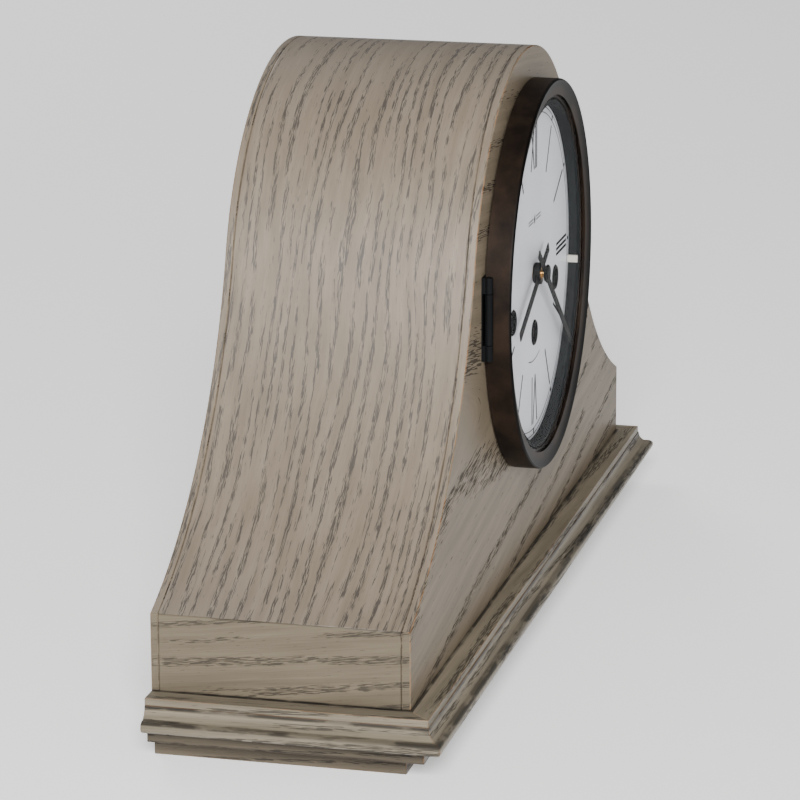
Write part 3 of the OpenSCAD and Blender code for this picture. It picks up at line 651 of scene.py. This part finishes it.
def mesh_object(name: str, bm: bmesh.types.BMesh) -> bpy.types.Object:
    """Turns a built mesh into an object with faces turned outward.

    Args:
        name: Piece name.
        bm: The mesh, which is freed.

    Returns:
        The new object.
    """
    bmesh.ops.recalc_face_normals(bm, faces=bm.faces)
    mesh = bpy.data.meshes.new(name)
    bm.to_mesh(mesh)
    bm.free()
    thing = bpy.data.objects.new(name, mesh)
    bpy.context.scene.collection.objects.link(thing)
    return thing


def prism(name: str, loops: Sequence[Sequence[Point]], low_y: float, high_y: float) -> bpy.types.Object:
    """Extrudes a flat front shape along Y.

    Args:
        name: Piece name.
        loops: Closed loops of x and z, the outside first and any holes after it.
        low_y: Front plane.
        high_y: Back plane.

    Returns:
        The new object.
    """
    bm = bmesh.new()
    edges = []
    for loop in loops:
        corners = [bm.verts.new((x, low_y, z)) for x, z in loop]
        edges += [bm.edges.new((corners[i - 1], corners[i])) for i in range(len(corners))]
    filled = bmesh.ops.triangle_fill(bm, edges=edges, use_beauty=True, use_dissolve=False)
    faces = [item for item in filled["geom"] if isinstance(item, bmesh.types.BMFace)]
    made = bmesh.ops.extrude_face_region(bm, geom=faces)
    moved = [item for item in made["geom"] if isinstance(item, bmesh.types.BMVert)]
    bmesh.ops.translate(bm, verts=moved, vec=(0, high_y - low_y, 0))
    return mesh_object(name, bm)


def loft(name: str, rings: Sequence[Sequence[Vector]]) -> bpy.types.Object:
    """Joins closed rings of equal length into a solid with capped ends.

    Args:
        name: Piece name.
        rings: The rings in order.

    Returns:
        The new object.
    """
    bm = bmesh.new()
    rows = [[bm.verts.new(point) for point in ring] for ring in rings]
    for first, second in zip(rows, rows[1:]):
        for i in range(len(first)):
            bm.faces.new((first[i - 1], first[i], second[i], second[i - 1]))
    bm.faces.new(rows[0])
    bm.faces.new(rows[-1])
    return mesh_object(name, bm)


def boxes(name: str, corners: Sequence[tuple[Vector, Vector]]) -> bpy.types.Object:
    """Makes one object of plain boxes.

    Args:
        name: Piece name.
        corners: The lowest and highest corner of each box.

    Returns:
        The new object.
    """
    bm = bmesh.new()
    for low, high in corners:
        cube = bmesh.ops.create_cube(bm, size=1.0)
        for vert in cube["verts"]:
            vert.co = Vector(lo if co < 0 else hi for lo, hi, co in zip(low, high, vert.co))
    return mesh_object(name, bm)


def rectangle(low: Point, high: Point) -> list[Point]:
    """Corners of an upright rectangle in x and z."""
    return [low, (high[0], low[1]), high, (low[0], high[1])]


def soften(thing: bpy.types.Object, width: float, segments: int = 2) -> None:
    """Rounds the sharp edges and gives the rounded strips the second material.

    Args:
        thing: The object.
        width: Size of the rounding in metres.
        segments: Steps in the rounding.
    """
    bevel = thing.modifiers.new("soft edges", "BEVEL")
    bevel.width = width
    bevel.segments = segments
    bevel.limit_method = "ANGLE"
    bevel.angle_limit = math.radians(35)
    bevel.material = 1
    for face in thing.data.polygons:
        face.use_smooth = True
    thing.data.set_sharp_from_angle(angle=math.radians(40))


def settle(thing: bpy.types.Object, body: str, slot: str, *nodes: str) -> bpy.types.Object:
    """Ties a finished piece to its body, its slot and the CAD nodes it stands for.

    Args:
        thing: The piece.
        body: The body it moves with.
        slot: The record's slot name.
        *nodes: The CAD nodes it stands for.

    Returns:
        The same piece.
    """
    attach(thing, body)
    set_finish(thing, slot)
    if nodes:
        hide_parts(*nodes)
    log.info("piece %s on %s", thing.name, body)
    return thing


def dress(names: Iterable[str], material: bpy.types.Material, slot: str) -> None:
    """Gives CAD nodes one material.

    Args:
        names: Node names.
        material: The material.
        slot: The record's slot name.
    """
    for name in names:
        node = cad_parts[name]
        node.data.materials.clear()
        node.data.materials.append(material)
        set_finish(node, slot)
        log.info("node %s in %s", name, material.name)


# ---------- Sub-assemblies ----------


@dataclass
class Case:
    """Oak case: front and back panels, bent arch, end blocks, floor and back rail."""

    outline: Outline
    front_y: float
    back_y: float
    panel: float
    back_panel: float
    arch: float
    block_width: float
    hole_radius: float
    dial_z: float
    door_low: Point
    door_high: Point
    soft_edge: float = 0.45 * MM

    def build(self) -> list[tuple[bpy.types.Object, str]]:
        """Builds the wooden pieces.

        Returns:
            Each piece with its node.
        """
        half, low, top = self.outline.half_width, self.outline.floor_z, self.outline.block_top
        inner_front, inner_back = self.front_y + self.panel, self.back_y - self.back_panel
        shell = [(half, low), (-half, low)] + self.outline.top_path()
        hole = [(self.hole_radius * math.cos(a), self.dial_z + self.hole_radius * math.sin(a))
                for a in (2 * math.pi * i / 96 for i in range(96))]
        door = rectangle(self.door_low, self.door_high)
        band = self.outline.top_path() + list(reversed(self.outline.top_path(self.arch)))
        made = [
            (prism("front_board", [shell, hole], self.front_y, inner_front), "front_panel", "oak_face"),
            (prism("back_board", [shell, door], inner_back, self.back_y), "back_panel", "oak_face"),
            (prism("bent_top", [band], inner_front, inner_back), "arch_top", "oak_arch"),
        ]
        for side, word in ((-1, "left"), (1, "right")):
            ends = sorted((side * half, side * (half - self.block_width)))
            shape = rectangle((ends[0], low), (ends[1], top))
            block = prism(f"block_{word}", [shape], inner_front, inner_back)
            made.append((block, f"end_block_{word}", "oak_block"))
        for thing, node, slot in made:
            if node.endswith("panel"):
                for face in thing.data.polygons:
                    if abs(face.normal.y) < 0.5:
                        face.material_index = 2 if face.center.z > top else 3
            soften(thing, self.soft_edge)
            settle(thing, "case", slot, node)
        return [(thing, node) for thing, node, _slot in made]


@dataclass
class Base:
    """Moulded strip round three sides and the stepped plinth under it."""

    half_width: float
    front_y: float
    back_y: float
    top_z: float
    height: float = 14.2 * MM
    reach_in: float = 24 * MM
    nose_out: float = 16.5 * MM
    step_out: float = 7.5 * MM
    step_height: float = 6 * MM
    plinth_height: float = 8.8 * MM
    plinth_in: float = 2.5 * MM
    nose_radius: float = 2.6 * MM
    fillet: float = 3.2 * MM
    soft_edge: float = 0.35 * MM

    def section(self) -> list[Point]:
        """Outline of the moulding as distance out from the case and height over its lower edge.

        Returns:
            Points in order, starting inside at the top.
        """
        nose_x = self.nose_out - self.nose_radius
        nose_z = self.nose_radius + 0.5 * MM - self.height
        cove_x, cove_z = self.nose_out - 0.4 * MM, -self.fillet
        cove_r = -nose_z - self.fillet - 1.9 * MM
        points = [(-self.reach_in, 0.0), (cove_x - cove_r - 0.4 * MM, 0.0),
                  (cove_x - cove_r - 0.4 * MM, cove_z), (cove_x - cove_r, cove_z)]
        meet = self.cove_end(cove_z, cove_r, nose_z)
        points += [(cove_x + cove_r * math.cos(a), cove_z + cove_r * math.sin(a))
                   for a in (math.pi + (meet - math.pi) * i / 20 for i in range(1, 21))]
        rise = self.nose_radius
        points += [(nose_x + rise * math.cos(a), nose_z + rise * math.sin(a))
                   for a in (math.radians(80 - 170 * i / 18) for i in range(19))]
        points += [(self.step_out, nose_z - rise), (self.step_out, -self.height),
                   (-self.reach_in, -self.height)]
        return points

    def cove_end(self, cove_z: float, cove_r: float, nose_z: float) -> float:
        """Finds the angle at which the hollow runs into the nose.

        Args:
            cove_z: Centre of the hollow, height.
            cove_r: Radius of the hollow.
            nose_z: Centre of the nose, height.

        Returns:
            The angle on the hollow's circle.
        """
        top = nose_z + self.nose_radius
        return math.pi + math.asin(min(1.0, (cove_z - top) / cove_r))

    def strip(self, name: str, start: tuple[float, float, float, float],
              end: tuple[float, float, float, float]) -> bpy.types.Object:
        """Runs the moulding between two ends.

        Args:
            name: Piece name.
            start: Place in x and y, and how each of them moves per unit outward.
            end: The same for the far end.

        Returns:
            The strip.
        """
        rings = [[Vector((x + out * dx, y + out * dy, self.top_z + z)) for out, z in self.section()]
                 for x, y, dx, dy in (start, end)]
        return loft(name, rings)

    def build(self) -> list[tuple[bpy.types.Object, str]]:
        """Builds the mouldings and the plinth.

        Returns:
            Each piece with its node.
        """
        half, front = self.half_width, self.front_y
        made = [(self.strip("nosing_front", (-half, front, -1, -1), (half, front, 1, -1)), "moulding_front",
                 "oak_moulding")]
        for side, word in ((-1, "left"), (1, "right")):
            run = self.strip(f"nosing_{word}", (side * half, front, side, -1),
                             (side * half, self.back_y, side, 0))
            made.append((run, f"moulding_{word}", "oak_moulding"))
        step_top = self.plinth_height + self.step_height
        step = (Vector((-half - self.step_out, front - self.step_out, self.plinth_height)),
                Vector((half + self.step_out, self.back_y, step_top)))
        plinth = (Vector((-half + self.plinth_in, front + self.plinth_in, 0.0)),
                  Vector((half - self.plinth_in, self.back_y, self.plinth_height)))
        board = boxes("stepped_plinth", [step, plinth])
        for face in board.data.polygons:
            face.material_index = 2 if abs(face.normal.x) > 0.5 else 0
        made.append((board, "plinth_board", "oak_face"))
        for thing, node, slot in made:
            soften(thing, self.soft_edge)
            settle(thing, "case", slot, node)
        return [(thing, node) for thing, node, _slot in made]


@dataclass
class DialTrim:
    """Small parts on the dial: eyelets round the winding holes, an ornament, the hour hand's collar."""

    dial_z: float
    face_y: float
    holes: tuple[Point, ...] = ((0.0, -28 * MM), (-45.5 * MM, -12.5 * MM), (45.5 * MM, -12.5 * MM))
    eyelet_in: float = 4.4 * MM
    eyelet_out: float = 6.0 * MM
    eyelet_rise: float = 0.7 * MM
    print_rise: float = 0.06 * MM
    steps: int = 48

    def ring_turn(self, name: str, centre: Point, section: Sequence[Point]) -> bpy.types.Object:
        """Turns a closed section about an axis square to the dial.

        Args:
            name: Piece name.
            centre: Place on the dial, from its middle.
            section: Radius and distance in front of the dial face, in order.

        Returns:
            The turned piece.
        """
        bm = bmesh.new()
        rows = []
        for i in range(self.steps):
            angle = 2 * math.pi * i / self.steps
            rows.append([bm.verts.new((centre[0] + r * math.cos(angle), self.face_y - out,
                                       self.dial_z + centre[1] + r * math.sin(angle))) for r, out in section])
        for i in range(self.steps):
            for j in range(len(section)):
                bm.faces.new((rows[i - 1][j - 1], rows[i - 1][j], rows[i][j], rows[i][j - 1]))
        return mesh_object(name, bm)

    def flat(self, name: str, shapes: Sequence[Sequence[Point]]) -> bpy.types.Object:
        """Lays flat shapes on the dial as a thin film of ink.

        Args:
            name: Piece name.
            shapes: Closed outlines from the dial's middle.

        Returns:
            The printed piece.
        """
        bm = bmesh.new()
        for shape in shapes:
            front = [bm.verts.new((x, self.face_y - self.print_rise, self.dial_z + z)) for x, z in shape]
            bm.faces.new(front)
        return mesh_object(name, bm)

    def band(self, radius: float, width: float, start: float, end: float) -> list[Point]:
        """Outline of a curved stroke between two angles from straight up.

        Args:
            radius: Radius of the stroke's middle.
            width: Width of the stroke.
            start: First angle in degrees.
            end: Last angle in degrees.

        Returns:
            The closed outline.
        """
        turns = [math.radians(start + (end - start) * i / 24) for i in range(25)]
        outer = [((radius + width / 2) * math.sin(a), (radius + width / 2) * math.cos(a)) for a in turns]
        inner = [((radius - width / 2) * math.sin(a), (radius - width / 2) * math.cos(a)) for a in turns]
        return outer + inner[::-1]

    def build(self, ink: bpy.types.Material, black: bpy.types.Material) -> None:
        """Builds the trim.

        Args:
            ink: Finish of the print.
            black: Finish of the eyelets and the collar.
        """
        rise, low = self.eyelet_rise, -0.9 * MM
        section = [(self.eyelet_in, low), (self.eyelet_in, rise * 0.6), (self.eyelet_in + 0.4 * MM, rise),
                   (self.eyelet_out - 0.6 * MM, rise), (self.eyelet_out, 0.1 * MM),
                   (self.eyelet_in + 0.6 * MM, low)]
        for word, centre in zip(("middle", "left", "right"), self.holes):
            eyelet = self.ring_turn(f"eyelet_{word}", centre, section)
            eyelet.data.materials.append(black)
            settle(eyelet, "case", "hand_black")
        collar = self.ring_turn("hour_collar", (0.0, 0.0), [
            (3.25 * MM, 0.2 * MM), (4.6 * MM, 0.2 * MM), (4.9 * MM, 0.6 * MM), (4.9 * MM, 2.3 * MM),
            (3.25 * MM, 2.3 * MM)])
        collar.data.materials.append(black)
        settle(collar, "hour", "hand_black")
        high, low = 25 * MM, -41 * MM
        diamond = [(0, high + 2.6 * MM), (1.5 * MM, high), (0, high - 2.6 * MM), (-1.5 * MM, high)]
        near, far, thick = 3 * MM, 13 * MM, 0.5 * MM
        bars = [[(side * near, high + gap), (side * far, high + gap), (side * far, high + gap + thick),
                 (side * near, high + gap + thick)] for side in (-1, 1) for gap in (-0.9 * MM, thick)]
        curve = self.band(-low, 0.45 * MM, 163, 197)
        ornament = self.flat("dial_ornament", [diamond, *bars, curve])
        ornament.data.materials.append(ink)
        settle(ornament, "case", "print_ink")


@dataclass
class BackDoor:
    """Plain oak door in the back panel."""

    low: Point
    high: Point
    front_y: float
    back_y: float
    soft_edge: float = 0.5 * MM

    def build(self) -> list[tuple[bpy.types.Object, str]]:
        """Builds the door board.

        Returns:
            The board with its node.
        """
        board = prism("door_board", [rectangle(self.low, self.high)], self.front_y, self.back_y)
        soften(board, self.soft_edge)
        settle(board, "door", "oak_face", "back_door")
        return [(board, "back_door")]


@dataclass
class Studio:
    """Camera, pale floor and soft lights."""

    azimuth: float = -75.956
    elevation: float = 15.139
    roll: float = -0.231
    distance: float = 1.8199
    target: tuple[float, float, float] = (-0.01484, 0.0, 0.10395)
    lens: float = 177.97
    floor_reach: float = 12.0
    world_light: float = 0.22

    def camera(self) -> None:
        """Places the camera."""
        azimuth, elevation = math.radians(self.azimuth), math.radians(self.elevation)
        back = Vector((math.sin(azimuth) * math.cos(elevation), -math.cos(azimuth) * math.cos(elevation),
                       math.sin(elevation)))
        data = bpy.data.cameras.new("camera")
        data.lens = self.lens
        data.sensor_width = 36
        data.clip_start = 0.05
        camera = bpy.data.objects.new("camera", data)
        bpy.context.scene.collection.objects.link(camera)
        camera.rotation_mode = "QUATERNION"
        roll = Quaternion(back, math.radians(self.roll))
        camera.rotation_quaternion = roll @ back.to_track_quat("Z", "Y")
        camera.location = Vector(self.target) + back * self.distance
        bpy.context.scene.camera = camera

    def floor(self) -> None:
        """Lays a wide pale floor."""
        mesh = bpy.data.meshes.new("floor")
        far = self.floor_reach
        mesh.from_pydata([(-far, -far, 0), (far, -far, 0), (far, far, 0), (-far, far, 0)], [], [(0, 1, 2, 3)])
        floor = bpy.data.objects.new("floor", mesh)
        bpy.context.scene.collection.objects.link(floor)
        material, _tree, shader = new_material("white sweep")
        shader.inputs["Base Color"].default_value = linear("#f7f7f7")
        shader.inputs["Roughness"].default_value = 0.9
        shader.inputs["Emission Color"].default_value = (1, 1, 1, 1)
        shader.inputs["Emission Strength"].default_value = 0.5
        mesh.materials.append(material)

    def light(self, name: str, place: tuple[float, float, float], size: float, power: float) -> None:
        """Hangs one square soft light that faces the clock.

        Args:
            name: Light name.
            place: Where it hangs.
            size: Side of the square.
            power: Watts.
        """
        data = bpy.data.lights.new(name, "AREA")
        data.size = size
        data.energy = power
        lamp = bpy.data.objects.new(name, data)
        bpy.context.scene.collection.objects.link(lamp)
        lamp.location = place
        aim = Vector((0, 0, 0.12)) - Vector(place)
        lamp.rotation_mode = "QUATERNION"
        lamp.rotation_quaternion = aim.to_track_quat("-Z", "Y")

    def build(self) -> None:
        """Sets up camera, floor, world and lights."""
        self.camera()
        self.floor()
        world = bpy.data.worlds.new("world")
        bpy.context.scene.world = world
        world.use_nodes = True
        sky = world.node_tree.nodes["Background"]
        sky.inputs["Color"].default_value = (1, 1, 1, 1)
        sky.inputs["Strength"].default_value = self.world_light
        self.light("key", (-2.2, -0.55, 1.2), 0.7, 100)
        self.light("fill", (-1.1, -1.3, 0.7), 0.9, 3)
        self.light("back", (1.9, 1.9, 1.7), 1.4, 32)


# The moulding's ledge heights mark painted shade lines in its hollow and under its nose
STRIP_OAK = {"light": "#857b6a", "middle": "#71695a", "shade": "#5b5346", "row_pitch": 8 * MM,
             "row_share": 0.5, "tilt": 0.02, "pore_length": 8 * MM, "pore_width": 0.30 * MM,
             "pore_depth": 0.7, "shade_ledges": (25.2 * MM, 19.9 * MM, 15.2 * MM)}
# Painted shade: the plinth's tones are darkened to stand for the shade under the moulding
SHADED_PLINTH_OAK = {"light": "#5f5749", "middle": "#534b3f", "shade": "#443d33", "row_pitch": 9 * MM,
              "row_share": 0.3, "tilt": 0.02}
# How each board differs from plain greywashed oak. The arch is bent quarter-cut stock with fine even rows and
# more lacquer; the panels are flat cut, with pointed arches in wide rows; the mouldings get dark lines in
# their hollows and under the nose, partly glaze and partly painted shade, and the plinth is darker as painted
# shade under the moulding
OAK_STYLES = {
    Grain.ARCH: {"specular": 0.8, "roughness": 0.33},
    Grain.WIDTH: {"light": "#7e7261", "middle": "#706555", "shade": "#635949", "row_pitch": 21 * MM,
                  "row_share": 0.32, "tilt": 0.12, "arch_reach": 30 * MM, "open_cut": 0.48,
                  "pore_length": 9 * MM, "pore_width": 0.45 * MM, "specular": 0.06},
    Grain.DEPTH: {"light": "#706656", "middle": "#635a4b", "shade": "#574e41", "row_pitch": 9 * MM,
                  "row_share": 0.42, "tilt": 0.11, "pore_width": 0.34 * MM, "pore_depth": 0.66},
    Grain.STRIP: STRIP_OAK,
    Grain.SIDE_STRIP: STRIP_OAK,
    Grain.PLINTH: SHADED_PLINTH_OAK,
    Grain.SIDE_PLINTH: SHADED_PLINTH_OAK,
}


class OakStore:
    """Hands out the oak finishes, making each one once."""

    def __init__(self, outline: Outline) -> None:
        """Keeps the case outline that the bent grain follows."""
        self.outline = outline
        self.made: dict[str, bpy.types.Material] = {}

    def boards(self, grain: Grain, rub_from: float) -> list[bpy.types.Material]:
        """Finds the finishes of one board: its faces, its rounded edges and its sawn edges.

        Args:
            grain: Which way the grain runs.
            rub_from: Distance from the middle plane beyond which an edge is an outer corner.

        Returns:
            The materials, in slot order.
        """
        face = self.plain(grain)
        edge = self.get(f"greywashed oak edge, {grain.value} grain, {rub_from * 1000:.0f}", grain=grain,
                        rub_share=0.35, rub_from=rub_from, **OAK_STYLES[grain])
        if grain is Grain.PLINTH:
            return [face, edge, self.plain(Grain.SIDE_PLINTH)]
        return [face, edge, self.plain(Grain.ARCH), self.plain(Grain.DEPTH)]

    def plain(self, grain: Grain) -> bpy.types.Material:
        """Finds the face finish of one grain."""
        return self.get(f"greywashed oak, {grain.value} grain", grain=grain, **OAK_STYLES[grain])

    def get(self, name: str, **sizes) -> bpy.types.Material:
        """Makes or finds one finish by its name.

        Args:
            name: The material's name.
            **sizes: How it differs from plain greywashed oak.

        Returns:
            The material.
        """
        if name not in self.made:
            self.made[name] = Oak(name, outline=self.outline, **sizes).build()
        return self.made[name]


def main() -> None:
    """Builds every sub-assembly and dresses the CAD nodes."""
    logging.basicConfig(level=logging.INFO, format="%(message)s")
    front_low, front_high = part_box("front_panel")
    back_low, back_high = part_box("back_panel")
    block_low, block_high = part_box("end_block_right")
    door_low, door_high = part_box("back_door")
    outline = Outline(front_high.x, front_low.z, block_high.z, front_high.z)
    oaks = OakStore(outline)
    panel = front_high.y - front_low.y
    case = Case(
        outline, front_low.y, back_high.y, panel=panel, back_panel=back_high.y - back_low.y, arch=4 * MM,
        block_width=block_high.x - block_low.x, hole_radius=66 * MM, dial_z=163.8 * MM,
        door_low=(door_low.x - DOOR_GAP, door_low.z - DOOR_GAP),
        door_high=(door_high.x + DOOR_GAP, door_high.z + DOOR_GAP),
    )
    base = Base(front_high.x, front_low.y, back_high.y, front_low.z)
    door = BackDoor((door_low.x, door_low.z), (door_high.x, door_high.z), door_low.y, door_high.y)
    grains = {"arch_top": Grain.ARCH, "end_block_left": Grain.DEPTH, "end_block_right": Grain.DEPTH,
              "moulding_front": Grain.STRIP, "moulding_left": Grain.SIDE_STRIP,
              "moulding_right": Grain.SIDE_STRIP, "plinth_board": Grain.PLINTH}
    case_rub = -front_low.y - OUTER_SHARE * panel
    for pieces, rub_from in ((case.build(), case_rub), (base.build(), 0.0), (door.build(), 0.0)):
        for thing, node in pieces:
            for material in oaks.boards(grains.get(node, Grain.WIDTH), rub_from):
                thing.data.materials.append(material)
    dress(["floor_board", "base_rail"], oaks.boards(Grain.WIDTH, 0.0)[0], "oak_block")
    # Brass darkened in a bath and rubbed with oil: brown clouds in a near-black skin, with painted shade
    # darkening the lip
    bronze = Metal("oil-rubbed bronze", "#15100d", "#31261e", 0.2, 0.5, contrast=0.7, specular=0.08,
                   painted_shade_front=67 * MM)
    # Sprayed satin paint over stamped steel: even black that barely shines
    black = Metal("satin black paint", "#0a0b0c", "#101113", 0.0, 0.6, bump=0.015, specular=0.08)
    # Brushed and lacquered sheet and wheels: warm yellow with soft streaked highlights
    brass = Metal("lacquered brass", "#d2a765", "#b98c48", 1.0, 0.26)
    # Turned on a lathe and left bare: cool grey with a fine-lined gleam
    steel = Metal("turned steel", "#a3a7ab", "#868a8f", 1.0, 0.3)
    # Sand-cast and painted: dull dark grey with a slight grit
    iron = Metal("painted cast iron", "#2b2c2e", "#3a3b3e", 0.1, 0.6)
    # Sprayed enamel on brass sheet: cool white, almost without texture
    white = Enamel("dial enamel", "#e6e8ed", "#dfe1e7", specular=0.3)
    # Pad-printed ink: flat black that takes no highlight
    ink = Enamel("printed ink", "#0a0b0f", "#0f1116", 0.8, bump=0.01, specular=0.05)
    # Matt paint inside the dial's ring, near black as painted shade for the shadowed band, with a blue-grey
    # tint that is a painted reflection of the glass
    grey = Enamel("dial wall paint", "#0d1012", "#111517", 0.7, bump=0.0, specular=0.06)
    # Injection-moulded plastic: pale, softly shining
    plastic = Enamel("moulded catch", "#bdb9b0", "#b2aea5", 0.5)
    # Float glass with a film of dust: nearly all that is seen is what lies behind it
    glass = ClearGlass("clear glass").build()
    dress(["bezel_ring", "glass_retainer", "dial_pan"], bronze.build(), "bronze")
    dress(["bezel_glass"], glass, "glass")
    dress(["dial_plate"], white.build(), "dial_white")
    ink_finish, black_finish = ink.build(), black.build()
    dress(["dial_print"], ink_finish, "print_ink")
    face_low, face_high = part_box("dial_plate")
    DialTrim((face_low.z + face_high.z) / 2, face_low.y).build(ink_finish, black_finish)
    dress(["dial_wall"], grey.build(), "wall_grey")
    dress(["bezel_catch"], plastic.build(), "catch_grey")
    dress(["hinge_leaf_case", "hinge_leaf_bezel"], black_finish, "hinge_black")
    dress(["minute_hand", "hour_hand", "hand_nut"], black_finish, "hand_black")
    brass_nodes = ["front_plate", "back_plate", "hour_wheel", "minute_wheel",
                   "going_barrel", "third_wheel", "escape_wheel", "balance_wheel", "strike_barrel",
                   "strike_wheel", "chime_barrel", "chime_wheel", "chime_drum", "door_hinge_case",
                   "door_hinge_leaf", "door_latch", "cannon_pinion"]
    dress(brass_nodes, brass.build(), "brass")
    dress(["chime_block"], iron.build(), "cast_iron")
    done = {name for name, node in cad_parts.items() if "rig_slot" in node or node.hide_render}
    dress(sorted(set(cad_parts) - done), steel.build(), "steel")
    Studio().build()


if __name__ == "__main__":
    main()
